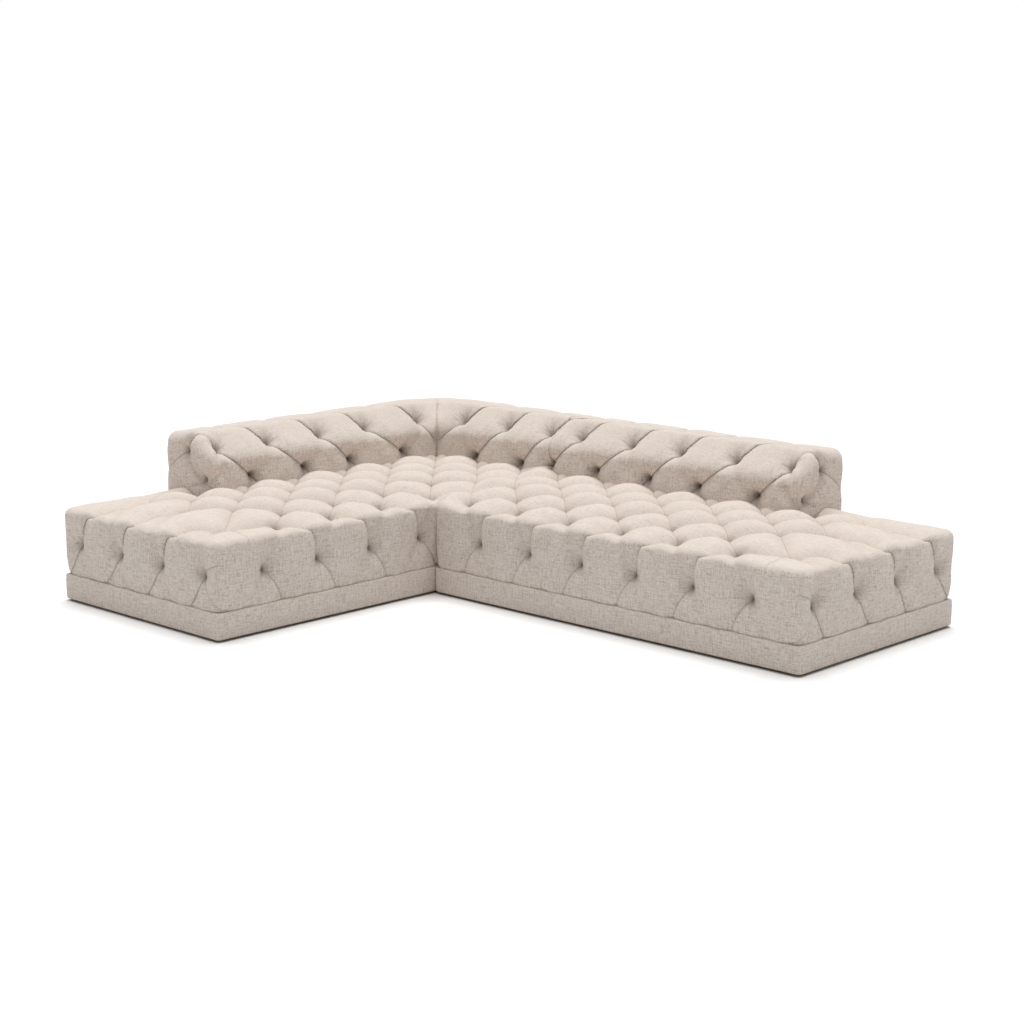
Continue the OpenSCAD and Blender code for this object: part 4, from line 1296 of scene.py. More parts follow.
@dataclass
class PlinthCover:
    """The plain upholstered band round a section's plinth."""

    section: Section
    seed: int
    corner: float = 0.022
    spacing: float = 0.012
    edge: float = 0.006
    hem: float = 0.008
    bulge: float = 0.0012
    cloth: float = 0.0042
    turned_in: float = 0.055
    tucked_under: float = 0.030
    wobble: float = 0.0004
    hidden_steps: tuple[float, ...] = (0.03, 0.03, 0.03, 0.03, 0.01)

    def outline(self) -> tuple[np.ndarray, np.ndarray]:
        """Points round the band and their outward directions."""
        r = self.corner
        far, deep = self.section.length - r, SECTION_DEPTH - r
        centres = np.array([(far, r), (far, deep), (r, deep), (r, r)])
        points, ways = [], []
        for k, centre in enumerate(centres):
            turns = np.radians(np.linspace(-90, 0, 9) + 90 * k)
            arc = np.column_stack([np.cos(turns), np.sin(turns)])
            start, end = centre + r * arc[-1], centres[(k + 1) % 4] + r * arc[-1]
            count = max(2, round(np.linalg.norm(end - start) / self.spacing))
            steps = np.arange(1, count)[:, None] / count
            points += [centre + r * arc, start + (end - start) * steps]
            ways += [arc, np.repeat(arc[-1:], count - 1, axis=0)]
        return np.vstack(points), np.vstack(ways)

    def profile(self) -> np.ndarray:
        """Rows of offset, height and share of the wobble, round the band's section."""
        low, high = PLINTH_FOOT, PLINTH_TOP + 0.0005
        rows = [(-self.turned_in, high - 0.0008, 0), (-0.030, high - 0.0002, 0), (-0.010, high, 0)]
        for t in np.radians(np.arange(1, 6) * 18):
            rise = self.edge * math.cos(t) - self.edge
            rows.append((self.edge * math.sin(t) - self.edge, high + rise, 1))
        for s in np.arange(1, 8) / 8:
            z = high - self.edge - (high - low - self.edge - self.hem) * s
            rows.append((self.bulge * math.sin(math.pi * s), z, 1))
        for k, t in enumerate(np.radians(np.arange(5) * 22.5)):
            rise = self.hem - self.hem * math.sin(t)
            rows.append((self.hem * math.cos(t) - self.hem, low + rise, int(k < 2)))
        rows += [(-self.tucked_under, low, 0), (-self.tucked_under, low + 0.0012, 0)]
        rows += [(-self.cloth, low + 0.0016, 0), (-self.cloth, PLINTH_TOP - 0.0036, 0)]
        return np.array([*rows, (-self.turned_in, PLINTH_TOP - 0.0030, 0)])

    def build(self) -> bpy.types.Object:
        """Builds the closed band.

        Returns:
            The band's object.
        """
        (line, ways), rows = self.outline(), self.profile()
        n, m = len(rows), len(line)
        run = np.linalg.norm(np.roll(line, -1, axis=0) - line, axis=1)
        run = np.concatenate([[0.0], np.cumsum(run)])
        rng = np.random.default_rng(self.seed)
        turns = run[:-1] / run[-1] * 2 * math.pi
        wobble = self.wobble * sum(np.sin(turns * k + rng.uniform(0, 6.28)) for k in (23, 37, 61))
        points = []
        for out, z, share in rows:
            push = np.reshape(out + share * wobble, (-1, 1))
            points.append(np.column_stack([line + ways * push, np.full(m, z)]))
        k, s = np.meshgrid(np.arange(n), np.arange(m), indexing="ij")
        ahead, right = (k + 1) % n * m, (s + 1) % m
        faces = np.stack([k * m + s, ahead + s, ahead + right, k * m + right], axis=-1)
        steps = np.hypot(*np.diff(rows[:, :2], axis=0, append=rows[:1, :2]).T)
        steps[-len(self.hidden_steps) :] = self.hidden_steps
        heights = np.concatenate([[0.0], np.cumsum(steps)])
        u = np.stack([run[s], run[s], run[s + 1], run[s + 1]], axis=-1)
        v = -np.stack([heights[k], heights[k + 1], heights[k + 1], heights[k]], axis=-1)
        charts = np.stack([u, v], axis=-1).reshape(-1, 4, 2)
        side, place = self.section.side, self.section.place
        name = side + "_plinth_band"
        world = place.world(np.vstack(points))
        mesh = mesh_from(name, world, faces.reshape(-1, 4).tolist(), charts, place.mirrored)
        return new_object(name, mesh)


# Node trees


Value = Union["Socket", float]


def set_inputs(node: bpy.types.Node, inputs: dict[Union[str, int], object]) -> None:
    """Links or sets a node's inputs."""
    for key, value in inputs.items():
        if isinstance(value, Socket):
            node.id_data.links.new(value.output, node.inputs[key])
        else:
            node.inputs[key].default_value = value


def add_node(
    tree: bpy.types.NodeTree,
    kind: str,
    inputs: Optional[dict[Union[str, int], object]] = None,
    **settings: object,
) -> bpy.types.Node:
    """Adds a node with its settings and inputs."""
    node = tree.nodes.new(kind)
    for key, value in settings.items():
        setattr(node, key, value)
    set_inputs(node, inputs or {})
    return node


def operator(operation: str, flipped: bool = False) -> Callable[..., "Socket"]:
    """Makes a method of Socket that adds a Math node.

    Args:
        operation: The node's operation.
        flipped: True to put the socket itself last.

    Returns:
        The method.
    """

    def method(self: "Socket", *others: Value) -> "Socket":
        """Adds the node."""
        values = (*others, self) if flipped else (self, *others)
        inputs = dict(enumerate(values))
        return self.tree_node("ShaderNodeMath", inputs, operation=operation)

    return method


class Socket:
    """An output of a node, which takes part in Python expressions."""

    __add__ = __radd__ = operator("ADD")
    __mul__ = __rmul__ = operator("MULTIPLY")
    __sub__ = operator("SUBTRACT")
    __rsub__ = operator("SUBTRACT", flipped=True)
    __truediv__ = operator("DIVIDE")
    __pow__ = operator("POWER")
    __abs__ = operator("ABSOLUTE")
    sine = operator("SINE")
    at_least = operator("MAXIMUM")
    at_most = operator("MINIMUM")

    def __init__(self, output: bpy.types.NodeSocket) -> None:
        """Keeps the output."""
        self.output = output

    def tree_node(self, kind: str, inputs: dict[int, Value], **settings: object) -> "Socket":
        """Adds a node to the socket's own tree."""
        return Socket(add_node(self.output.id_data, kind, inputs, **settings).outputs[0])

    def clamped(self) -> "Socket":
        """The value kept from 0 to 1."""
        return self.at_least(0.0).at_most(1.0)


class Painter:
    """Builds one material's nodes."""

    def __init__(self, name: str) -> None:
        """Starts a material with its shader and output."""
        self.material = bpy.data.materials.new(name)
        self.material.use_nodes = True
        self.tree = self.material.node_tree
        self.tree.nodes.clear()
        self.shader = add_node(self.tree, "ShaderNodeBsdfPrincipled")
        add_node(self.tree, "ShaderNodeOutputMaterial", {0: Socket(self.shader.outputs[0])})

    def node(
        self,
        kind: str,
        inputs: Optional[dict[Union[str, int], object]] = None,
        output: Union[str, int] = 0,
        **settings: object,
    ) -> Socket:
        """Adds a node and gives one of its outputs."""
        return Socket(add_node(self.tree, kind, inputs, **settings).outputs[output])

    def split(self, vector: Socket) -> list[Socket]:
        """The three parts of a vector."""
        node = add_node(self.tree, "ShaderNodeSeparateXYZ", {0: vector})
        return [Socket(part) for part in node.outputs]

    def attribute(self, name: str) -> list[Socket]:
        """The three parts of one of the mesh's attributes."""
        vector = self.node("ShaderNodeAttribute", output="Vector", attribute_name=name)
        return self.split(vector)

    def mix(self, share: Value, first: object, second: object) -> Socket:
        """Mixes two colours."""
        inputs = {0: share, 6: first, 7: second}
        return self.node("ShaderNodeMix", inputs, 2, data_type="RGBA")

    def noise(
        self,
        vector: Socket,
        scale: Union[float, tuple[float, float, float]],
        detail: float = 2.0,
        rough: float = 0.5,
    ) -> Socket:
        """Noise with one scale, or with a scale for each direction."""
        if isinstance(scale, tuple):
            sizes = {0: vector, 1: scale}
            vector, scale = self.node("ShaderNodeVectorMath", sizes, operation="MULTIPLY"), 1.0
        inputs = {"Vector": vector, "Scale": scale, "Detail": detail, "Roughness": rough}
        return self.node("ShaderNodeTexNoise", inputs)

    def ramp(self, value: Socket, stops: Sequence[tuple[float, Colour]]) -> Socket:
        """Colours by a value, from places and colours."""
        node = add_node(self.tree, "ShaderNodeValToRGB", {0: value})
        elements = node.color_ramp.elements
        elements.remove(elements[-1])
        elements[0].position, elements[0].color = stops[0]
        for place, colour in stops[1:]:
            elements.new(place).color = colour
        return Socket(node.outputs[0])

    def bump(self, height: Socket, depth: float, strength: float) -> Socket:
        """A bumped normal from a height."""
        inputs = {"Height": height, "Distance": depth, "Strength": strength}
        return self.node("ShaderNodeBump", inputs)

    def feed(self, inputs: dict[str, object]) -> None:
        """Links or sets the shader's inputs."""
        set_inputs(self.shader, inputs)


def rgb(red: int, green: int, blue: int) -> Colour:
    """A colour written as on a screen, in linear light."""
    parts = (c / 255 for c in (red, green, blue))
    return (*(c / 12.92 if c <= 0.04045 else ((c + 0.055) / 1.055) ** 2.4 for c in parts), 1.0)


# Finishes


@dataclass(frozen=True)
class Finish:
    """What a surface is made of.

    Attributes:
        name: The material's name.
        light: Its light colour.
        dark: Its dark colour.
    """

    name: str
    light: Colour
    dark: Colour

    def material(self) -> bpy.types.Material:
        """Builds the material."""
        p = Painter(self.name)
        self.paint(p, p.node("ShaderNodeTexCoord", output="Object"))
        return p.material

    def paint(self, p: Painter, place: Socket) -> None:
        """Feeds the shader.

        Args:
            p: Builds the material's nodes.
            place: The surface's place in the object.
        """
        raise NotImplementedError


@dataclass(frozen=True)
class LinenWeave(Finish):
    """Heathered linen-look cloth, with thick and thin threads both ways."""

    light: Colour = rgb(247, 239, 230)
    dark: Colour = rgb(190, 175, 163)
    middle: Colour = rgb(231, 219, 209)
    # Painted shade: the colour that deep valleys are darkened towards.
    valley: Colour = rgb(146, 128, 114)
    # Painted shade: the colour that pleat lines are darkened towards.
    line: Colour = rgb(96, 84, 74)
    # Painted shade: the colour that tuft pits are darkened towards.
    pit: Colour = rgb(74, 62, 52)
    creased: bool = True
    thread: float = 0.0016
    # Painted light: how far the heather fades on upward-facing cloth.
    painted_top_wash: float = 0.55
    valley_shade: float = 0.24
    line_shade: float = 0.62
    pit_shade: float = 0.84
    line_width: float = 0.0022

    def paint(self, p: Painter, place: Socket) -> None:
        """Feeds the shader with threads and weave, with shade painted into the folds' valleys,
        pleat lines and tuft pits, and with painted light that fades the heather on the tops.

        Args:
            p: Builds the material's nodes.
            place: The surface's place in the object.
        """
        chart = p.node("ShaderNodeUVMap", uv_map="cloth")
        weft, warp = (p.noise(chart, s, 2.0, 0.6) for s in ((55.0, 270.0, 1.0), (270.0, 55.0, 1.0)))
        slub, slub_up = (p.noise(chart, s, 1.0) for s in ((16.0, 210.0, 1.0), (210.0, 16.0, 1.0)))
        heather = (weft + warp) * 0.28 + (slub + slub_up) * 0.22
        if self.creased:
            pit, upward, valley = p.attribute("pit")
            # Painted light: the heather's contrast is lowered on upward-facing cloth, so the tops
            # read as washed out by the light from above.
            heather = 0.5 + (heather - 0.5) * (1 - upward * self.painted_top_wash)
        tone = p.ramp(heather, [(0.40, self.dark), (0.50, self.middle), (0.60, self.light)])
        x, y, _ = p.split(chart)
        k = math.pi / self.thread
        weave = (x * k).sine() * (y * k).sine()
        cloud = p.noise(place, 3.2, 3.0)
        shade = p.mix(0.12, tone, p.mix(cloud, self.dark, self.light))
        colour = p.mix((weave * 0.5 + 0.5) * 0.16, shade, self.dark)
        if self.creased:
            across, away, live = p.attribute("crease")
            line = (1 - abs(across) / self.line_width).clamped()
            close = ((1 - away / 0.012).at_least(0.0) * 3.0).at_most(1.0)
            # Painted shade: valleys darkened by their depth, standing in for the shade that gathers
            # there.
            colour = p.mix((valley**1.3) * self.valley_shade, colour, self.valley)
            # Painted shade: a dark line along each pleat, where shade falls in the crease.
            colour = p.mix(line * close * live * self.line_shade, colour, self.line)
            # Painted shade: darkens each tuft's pit.
            colour = p.mix(pit * self.pit_shade, colour, self.pit)
        p.feed(
            {
                "Base Color": colour,
                "Normal": p.bump(weave * 0.5 + (weft + warp) * 0.8, 0.0009, 0.55),
                "Roughness": 0.93,
                "Specular IOR Level": 0.18,
                "Sheen Weight": 0.25,
                "Sheen Roughness": 0.6,
                "Sheen Tint": self.light,
            }
        )


@dataclass(frozen=True)
class Wood(Finish):
    """Planed softwood, or plywood with its plies showing on the edges."""

    plies: bool = False

    def paint(self, p: Painter, place: Socket) -> None:
        """Feeds the shader with rings, fibres and knots."""
        bend = p.noise(place, (1.1, 1.1, 6.0))
        z = p.split(place)[2]
        rings = ((z * 420.0 + bend * 46.0).sine() * 0.5 + 0.5) ** 1.6
        fibre = p.noise(place, (30.0, 30.0, 900.0), 3.0, 0.6)
        knots = p.noise(place, 5.5, 1.0, 0.4)
        tone = rings * 0.45 + fibre * 0.40 + (knots - 0.5).at_least(0.0) * 0.9
        colour = p.mix(tone.at_most(1.0), self.light, self.dark)
        if self.plies:
            colour = p.mix(((z * 1400.0).sine() * 4.0).clamped() * 0.22, colour, self.dark)
        normal = p.bump(fibre + rings * 0.3, 0.0004, 0.5)
        p.feed({"Base Color": colour, "Roughness": fibre * 0.18 + 0.56, "Normal": normal})


@dataclass(frozen=True)
class Steel(Finish):
    """Drawn, zinc-plated or blackened steel."""

    rough: float = 0.35
    metallic: float = 1.0

    def paint(self, p: Painter, place: Socket) -> None:
        """Feeds the shader with patches and scratches."""
        patch = p.noise(place, 60.0, 3.0, 0.6)
        scratch = p.noise(place, (300.0, 40.0, 300.0))
        p.feed(
            {
                "Base Color": p.mix(patch, self.dark, self.light),
                "Roughness": patch * 0.16 + scratch * 0.10 + (self.rough - 0.13),
                "Normal": p.bump(scratch, 0.0002, 0.35),
                "Metallic": self.metallic,
            }
        )


@dataclass(frozen=True)
class MouldedPlastic(Finish):
    """Moulded plastic with a fine spark-eroded skin, rubbed to its light colour."""

    def paint(self, p: Painter, place: Socket) -> None:
        """Feeds the shader with grain and scuffs."""
        grain = p.noise(place, 1400.0, 2.0, 0.6)
        scuffs = p.noise(place, (90.0, 25.0, 60.0), 3.0, 0.6)
        rubbed = ((scuffs - 0.55) * 4.0).clamped()
        p.feed(
            {
                "Base Color": p.mix(rubbed * 0.5, self.dark, self.light),
                "Roughness": rubbed * 0.2 + grain * 0.08 + 0.40,
                "Normal": p.bump(grain, 0.0002, 0.4),
            }
        )


@dataclass(frozen=True)
class OpenFoam(Finish):
    """Cut upholstery foam with its open cells."""

    def paint(self, p: Painter, place: Socket) -> None:
        """Feeds the shader with cells and the foam's yellowing."""
        cells = p.node("ShaderNodeTexVoronoi", {"Vector": place, "Scale": 520.0}, feature="F1")
        age = p.noise(place, 4.0)
        colour = p.mix(cells * 0.5 + age * 0.5, self.light, self.dark)
        p.feed({"Base Color": colour, "Normal": p.bump(cells, 0.0010, 0.7), "Roughness": 0.95})


@dataclass(frozen=True)
class PlainFibre(Finish):
    """Pressed or woven fibre: jute pad, webbing, twine or dust cloth.

    Attributes:
        pitch: Pitch of the weave, or None for felt.
    """

    pitch: Optional[float] = None

    def paint(self, p: Painter, place: Socket) -> None:
        """Feeds the shader with hairs and the weave."""
        hairs = p.noise(place, (260.0, 90.0, 260.0), 4.0, 0.7)
        fuzz = hairs * 0.5 + p.noise(place, (90.0, 260.0, 90.0), 4.0, 0.7) * 0.5
        height = fuzz
        if self.pitch:
            x, y, z = p.split(place)
            k = 2 * math.pi / self.pitch
            weave = (x * k).sine() * ((y + z) * k).sine()
            height = (fuzz + weave) * 0.5
            fuzz = fuzz * 0.7 + (weave * 0.5 + 0.5) * 0.3
        colour = p.mix(((fuzz - 0.35) * 3.0).clamped(), self.dark, self.light)
        p.feed({"Base Color": colour, "Normal": p.bump(height, 0.0006, 0.6), "Roughness": 0.92})


def frame_finishes() -> dict[str, bpy.types.Material]:
    """The finishes of the frame's own nodes, by material slot."""
    spring, zinc = (rgb(118, 116, 114), rgb(70, 68, 67)), (rgb(206, 208, 206), rgb(158, 160, 158))
    black = rgb(62, 62, 64), rgb(34, 34, 36)
    finishes = {
        "timber": Wood("planed_softwood", rgb(226, 198, 152), rgb(186, 146, 96)),
        "plywood": Wood("birch_plywood", rgb(224, 204, 168), rgb(178, 148, 108), plies=True),
        "spring_steel": Steel("drawn_spring_steel", *spring, rough=0.42),
        "zinc_steel": Steel("zinc_plate", *zinc, rough=0.34),
        "bracket_steel": Steel("black_oxide_steel", *black, rough=0.45, metallic=0.8),
        "clip_plastic": MouldedPlastic("clip_nylon", rgb(244, 242, 234), rgb(226, 222, 210)),
        "glide_plastic": MouldedPlastic("glide_nylon", rgb(74, 72, 70), rgb(30, 29, 28)),
        "foam": OpenFoam("cut_foam", rgb(236, 226, 190), rgb(196, 178, 128)),
        "jute": PlainFibre("needled_jute", rgb(176, 142, 96), rgb(120, 92, 58)),
        "webbing": PlainFibre("elastic_webbing", rgb(64, 62, 60), rgb(30, 29, 29), 0.0024),
        "twine": PlainFibre("waxed_twine", rgb(232, 226, 210), rgb(176, 166, 146), 0.0016),
        "dust_cloth": PlainFibre("dust_cloth", rgb(46, 45, 46), rgb(22, 22, 23), 0.0014),
    }
    return {slot: finish.material() for slot, finish in finishes.items()}


# Under the sofa


@dataclass
class DustCover:
    """The dust cloth stapled under a section, with its turned-in hem."""

    section: Section
    inset: float = 0.0155
    top: float = 0.0098
    thickness: float = 0.0008
    hem: float = 0.020
    spacing: float = 0.014
    staple_step: float = 0.045
    wrinkle_depth: float = 0.0004
    sag_depth: float = 0.0007
    pull_depth: float = 0.0003
    hem_depth: float = 0.0007
    seed: int = 21

    @property
    def size(self) -> Spot:
        """Width and length of the cut cloth."""
        return SECTION_DEPTH - 2 * self.inset, self.section.length - 2 * self.inset

    def build(self) -> bpy.types.Object:
        """Builds the cloth as a thin closed sheet with faint tension wrinkles.

        Returns:
            The cloth's object.
        """
        width, length = self.size
        nx, ny = round(length / self.spacing), round(width / self.spacing)
        xs, ys = np.linspace(0, length, nx + 1), np.linspace(0, width, ny + 1)
        a, d = (axis.ravel() for axis in np.meshgrid(xs, ys, indexing="ij"))
        edge = np.minimum.reduce([a, length - a, d, width - d])
        rng = np.random.default_rng(self.seed)
        wrinkle = np.zeros_like(a)
        for _ in range(7):
            turn, size = rng.uniform(0, math.pi), rng.uniform(22, 60)
            wave = np.sin((a * math.cos(turn) + d * math.sin(turn)) * size + rng.uniform(0, 6.28))
            wrinkle += np.maximum(wave, 0) ** 3
        along_edge = np.where(edge == np.minimum(a, length - a), d, a)
        pull = np.cos(2 * math.pi * along_edge / self.staple_step)
        drop = self.wrinkle_depth * wrinkle * ease(edge / 0.10)
        drop += self.sag_depth * rising(edge, 0.02, 0.3)
        drop += self.pull_depth * (1 - pull) * np.exp(-edge / 0.03)
        drop += self.hem_depth * (1 - rising(edge, self.hem, 0.004))
        upper = np.column_stack([a, d, np.full_like(a, self.top)])
        lower = np.column_stack([a, d, self.top - self.thickness - drop])
        points = np.vstack([upper, lower]) + (self.inset, self.inset, 0.0)
        lid, rim, n = grid_quads(nx, ny), grid_rim(nx, ny), len(a)
        ahead = np.roll(rim, -1)
        sides = np.stack([ahead, rim, rim + n, ahead + n], axis=1)
        faces = [*lid.tolist(), *(lid[:, ::-1] + n).tolist(), *sides.tolist()]
        place, name = self.section.place, self.section.side + "_dust_cloth"
        return new_object(name, mesh_from(name, place.world(points), faces, flip=place.mirrored))


@dataclass
class StapleRow:
    """The staples that hold a dust cloth, laid by Geometry Nodes round its hem."""

    section: Section
    inset: float = 0.0255
    step: float = 0.045
    crown: float = 0.0115
    wire: float = 0.00055
    leg_top: float = 0.0018
    leg_handle: float = -0.0005
    askew: float = 0.16
    low: float = 0.0078
    seed: int = 31

    def tree(self, material: bpy.types.Material) -> bpy.types.NodeTree:
        """Builds the node tree.

        Args:
            material: The staples' material.

        Returns:
            The tree, with the row's measures set in its nodes.
        """
        tree = bpy.data.node_groups.new("staple_row", "GeometryNodeTree")
        tree.interface.new_socket("Geometry", in_out="OUTPUT", socket_type="NodeSocketGeometry")

        def add(kind: str, inputs: Optional[dict] = None, **settings: object) -> Socket:
            """Adds a node and gives its first output."""
            return Socket(add_node(tree, kind, inputs, **settings).outputs[0])

        half, leg, handle = self.crown / 2, self.leg_top, self.leg_handle
        bow = add(
            "GeometryNodeCurvePrimitiveBezierSegment",
            {
                "Resolution": 8,
                "Start": (-half, 0.0, leg),
                "Start Handle": (-half, 0.0, handle),
                "End Handle": (half, 0.0, handle),
                "End": (half, 0.0, leg),
            },
        )
        ring = add("GeometryNodeCurvePrimitiveCircle", {"Resolution": 6, "Radius": self.wire})
        outline = {"Curve": bow, "Profile Curve": ring, "Fill Caps": True}
        staple = add("GeometryNodeCurveToMesh", outline)
        length, width = (s - 2 * self.inset for s in (self.section.length, SECTION_DEPTH))
        sizes = {"Width": length, "Height": width}
        loop = add("GeometryNodeCurvePrimitiveQuadrilateral", sizes)
        spaced = {"Curve": loop, "Length": self.step}
        path = add("GeometryNodeResampleCurve", spaced, mode="LENGTH")
        tangent = {"Vector": add("GeometryNodeInputTangent")}
        along = add("FunctionNodeAlignRotationToVector", tangent, axis="X")
        turn = (0.0, 0.0, self.askew)
        reach = {"Min": tuple(-x for x in turn), "Max": turn, "Seed": self.seed}
        askew = add("FunctionNodeRandomValue", reach, data_type="FLOAT_VECTOR")
        turned = add("FunctionNodeRotateRotation", {"Rotation": along, "Rotate By": askew})
        where = {"Points": path, "Instance": staple, "Rotation": turned}
        placed = add("GeometryNodeInstanceOnPoints", where)
        real = add("GeometryNodeRealizeInstances", {"Geometry": placed})
        done = add("GeometryNodeSetMaterial", {"Geometry": real, "Material": material})
        add_node(tree, "NodeGroupOutput", {0: done})
        return tree

    def build(self, material: bpy.types.Material) -> bpy.types.Object:
        """Lays the staples and turns them into a plain mesh."""
        name, place = self.section.side + "_dust_staples", self.section.place
        carrier = new_object("staple_carrier", bpy.data.meshes.new("staple_carrier"))
        carrier.modifiers.new("staples", "NODES").node_group = self.tree(material)
        graph = bpy.context.evaluated_depsgraph_get()
        mesh = bpy.data.meshes.new_from_object(carrier.evaluated_get(graph), depsgraph=graph)
        mesh.name = name
        points = vertices(mesh) + (self.section.length / 2, SECTION_DEPTH / 2, self.low)
        mesh.vertices.foreach_set("co", place.world(points).ravel())
        if place.mirrored:
            mesh.flip_normals()
        mesh.update()
        bpy.data.objects.remove(carrier)
        return new_object(name, mesh)


# Studio


@dataclass
class Studio:
    """Camera, floor and light of the photograph."""

    lens: float = 69.363
    spot: Point = (5.653, -5.801, 2.028)
    turn: Point = (78.871, 0.0, 43.807)
    sky: float = 0.41
    sun: float = 2.66
    sun_angle: float = 40.0
    sun_turn: Point = (-8.0, -6.0, 0.0)
    half_floor: float = 60.0

    def camera(self) -> None:
        """Sets the camera at the photograph's viewing angle."""
        data = bpy.data.cameras.new("camera")
        data.lens, data.sensor_width = self.lens, 36.0
        data.clip_start, data.clip_end = 0.1, 200.0
        camera = new_object("camera", data)
        camera.location = self.spot
        camera.rotation_euler = np.radians(self.turn)
        bpy.context.scene.camera = camera

    def floor(self) -> None:
        """Lays the pale floor."""
        corners = np.array([(-1, -1, 0), (1, -1, 0), (1, 1, 0), (-1, 1, 0)])
        mesh = mesh_from("floor", corners * self.half_floor, [(0, 1, 2, 3)])
        p = Painter("studio_floor")
        seen = p.node("ShaderNodeLightPath", output="Is Camera Ray")
        grey, pale = (0.74, 0.74, 0.74, 1), (0.98, 0.98, 0.98, 1)  # As light, and as seen
        colour = p.mix(seen, grey, pale)
        p.feed({"Base Color": colour, "Roughness": 0.9, "Specular IOR Level": 0.0})
        mesh.materials.append(p.material)
        new_object("floor", mesh)

    def lights(self) -> None:
        """Lights the room softly from above."""
        world = bpy.data.worlds.new("studio")
        bpy.context.scene.world = world
        world.use_nodes = True
        tree = world.node_tree
        tree.nodes.clear()
        seen = Socket(add_node(tree, "ShaderNodeLightPath").outputs["Is Camera Ray"])
        base, white = (
            Socket(add_node(tree, "ShaderNodeBackground", {0: (1, 1, 1, 1), 1: power}).outputs[0])
            for power in (self.sky, 1.0)
        )
        mixed = add_node(tree, "ShaderNodeMixShader", {0: seen, 1: base, 2: white})
        add_node(tree, "ShaderNodeOutputWorld", {0: Socket(mixed.outputs[0])})
        data = bpy.data.lights.new("key", "SUN")
        data.energy, data.angle = self.sun, math.radians(self.sun_angle)
        new_object("key", data).rotation_euler = np.radians(self.sun_turn)


# The sofa


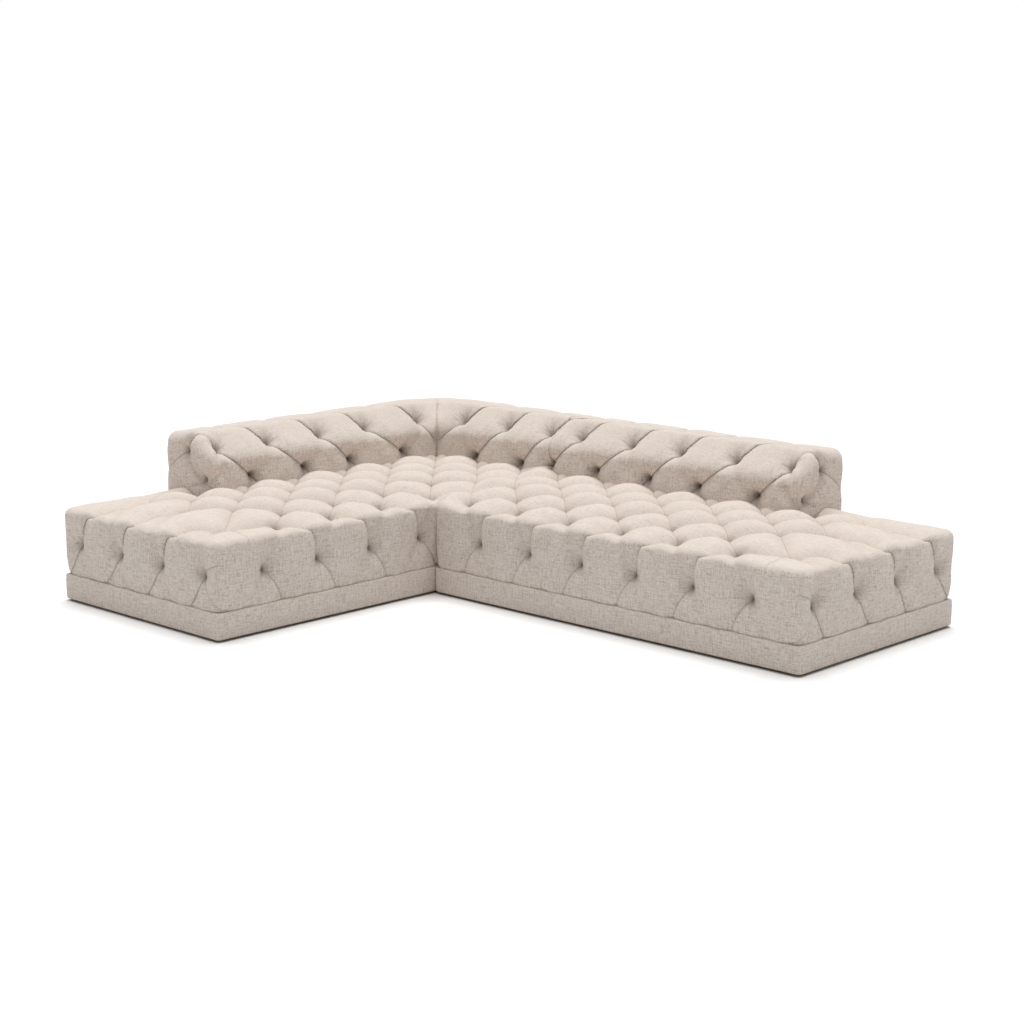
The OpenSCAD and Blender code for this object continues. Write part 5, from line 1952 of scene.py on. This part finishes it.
@dataclass
class Sofa:
    """The whole sofa.

    Attributes:
        seat_radii: Round edges of the seats.
        seat_gap: Gap between the seats and the plinth.
        seat_frame_top: Height that the seats' frame needs.
        back_frame_top: Height that the backs' frame needs.
        back_frame_front: Depth that the backs' frame needs.
        cut_wall: Padding between a back's frame and a flat end.
        end_wall: Padding between a back's frame and a mitred or free end.
        below: A height below everything.
        fine_cell: Size of the backs' grid cells.
    """

    seat_radii: Radii = Radii(0.030, 0.036, 0.036, 0.036, 0.036, 0.034, 0.034)
    seat_gap: float = 0.0010
    seat_frame_top: float = 0.350
    back_frame_top: float = 0.6195
    back_frame_front: float = 0.2095
    cut_wall: float = 0.022
    end_wall: float = 0.044
    below: float = -1.0
    fine_cell: float = 0.85 * GRID_CELL

    def seat(self, section: Section, shape: dict[str, float], **more: object) -> SeatCover:
        """One seat cover.

        Args:
            section: The section it belongs to.
            shape: What its block needs beyond its size.
            more: What its folds and tufts need, and its seed.

        Returns:
            The cover.
        """
        foot = PLINTH_TOP + self.seat_gap
        size = section.length, SECTION_DEPTH
        block = SeatBlock(*size, foot, SEAT_TOP, self.seat_radii, **shape)
        low = FRAME_INSET, FRAME_INSET, self.below
        hollow = np.array([low, (*(s - FRAME_INSET for s in size), self.seat_frame_top)])
        node = section.side + "_seat_cover"
        return SeatCover(node, section.body, section.place, block, hollow, **more)

    def seats(self) -> list[SeatCover]:
        """The two seat covers."""
        left = self.seat(
            LEFT,
            {"joint_axis": 1, "back_end": LEFT_BACK, "corner": BACK_DEPTH},
            first_front=3,
            front_count=7,
            feet=(0.02, 0.296, 0.589, 0.88),
            joined=False,
            seed=3,
        )
        right = self.seat(
            RIGHT,
            {"joint_axis": 0, "back_end": RIGHT_BACK},
            first_front=0,
            front_count=6,
            feet=(0.02, 0.334, 0.595, 0.896),
            joined=True,
            seed=5,
        )
        return [left, right]

    def back(self, name: str, section: Section, length: float, **more: object) -> BackCover:
        """One back cover.

        Args:
            name: Its place: left, corner or right.
            section: The section it rides on.
            length: Its length.
            more: Its tufts' places and its seed.

        Returns:
            The cover.
        """
        place = Place(name)
        mitred, free = place is not Place.RIGHT, place is not Place.CORNER
        round_far = (0.018, 0.050) if free else (0.0, 0.0)
        radii = Radii(0.0, *round_far, rear=0.030, front=0.060, top_rear=0.050, top_front=0.120)
        block = BackBlock(
            length,
            BACK_DEPTH,
            BACK_FOOT - BACK_SINK,
            BACK_TOP,
            radii,
            self.fine_cell,
            cuts=("near",) if free else ("near", "far"),
            diagonal=mitred,
        )
        first = BACK_DEPTH + self.end_wall if mitred else self.cut_wall
        last = length - (self.end_wall if free else self.cut_wall)
        high = last, self.back_frame_front, self.back_frame_top
        hollow = np.array([(first, FRAME_INSET, self.below), high])
        return BackCover(name + "_back_cover", section.body, place, block, hollow, **more)

    def backs(self) -> list[BackCover]:
        """The three back covers."""
        left = self.back(
            "left",
            LEFT,
            LEFT_BACK,
            upper=(0.386, 0.73, 1.018, 1.324, 1.616),
            lower=(0.531, 0.872, 1.149, 1.46),
            seed=11,
        )
        corner = self.back(
            "corner",
            LEFT,
            SECTION_DEPTH,
            upper=(0.444, 0.736, 1.013),
            lower=(0.567, 0.868, 1.069),
            beyond=(1.207,),
            lower_height=0.466,
            seed=12,
        )
        right = self.back(
            "right",
            RIGHT,
            RIGHT_BACK,
            upper=(0.135, 0.436, 0.718, 1.02, 1.314),
            lower=(-0.003, 0.269, 0.576, 0.855, 1.17),
            beyond=(-0.059,),
            end_tuft=(0.150, 0.602),
            seed=13,
        )
        return [left, corner, right]


def refinish(materials: dict[str, bpy.types.Material]) -> None:
    """Gives each of the frame's nodes the finish of its material slot."""
    for obj in bpy.data.objects:
        if obj.type == "MESH" and obj.data.materials:
            found = materials.get(obj.data.materials[0].name)
            if found:
                obj.data.materials[0] = found
                LOG.info("%s: %s", obj.name, found.name)


def dress(
    obj: bpy.types.Object, material: bpy.types.Material, body: str, node: str
) -> None:
    """Gives a piece its material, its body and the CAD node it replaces."""
    obj.data.materials.append(material)
    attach(obj, body)
    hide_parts(node)
    LOG.info("%s: %d faces", obj.name, len(obj.data.polygons))


def main() -> None:
    """Builds the sofa's looks and reports each piece."""
    logging.basicConfig(level=logging.INFO, format="%(name)s: %(message)s")
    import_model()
    bpy.context.scene.view_settings.view_transform = "Standard"
    studio = Studio()
    studio.camera()
    studio.floor()
    studio.lights()
    finishes = frame_finishes()
    refinish(finishes)
    sofa = Sofa()
    linen = LinenWeave("oatmeal_linen").material()
    band_linen = LinenWeave("oatmeal_linen_flat", creased=False).material()
    skins = [(cover, cover.build()) for cover in [*sofa.seats(), *sofa.backs()]]
    lifts = (-0.001, 0.002)
    level_joint(
        [(obj, cover.block.top_count, lift) for (cover, obj), lift in zip(skins, lifts)]
    )
    for cover, obj in skins:
        dress(obj, linen, cover.body, cover.node)
    for section, seed in ((LEFT, 16), (RIGHT, 17)):
        obj = PlinthCover(section, seed).build()
        dress(obj, band_linen, section.body, section.side + "_plinth_cover")
    for section in (LEFT, RIGHT):
        cloth = DustCover(section)
        obj = cloth.build()
        dress(obj, finishes["dust_cloth"], section.body, section.side + "_dust_cover")
        staples = StapleRow(section).build(finishes["zinc_steel"])
        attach(staples, section.body)
        LOG.info("%s: %d faces", staples.name, len(staples.data.polygons))


if __name__ == "__main__":
    main()
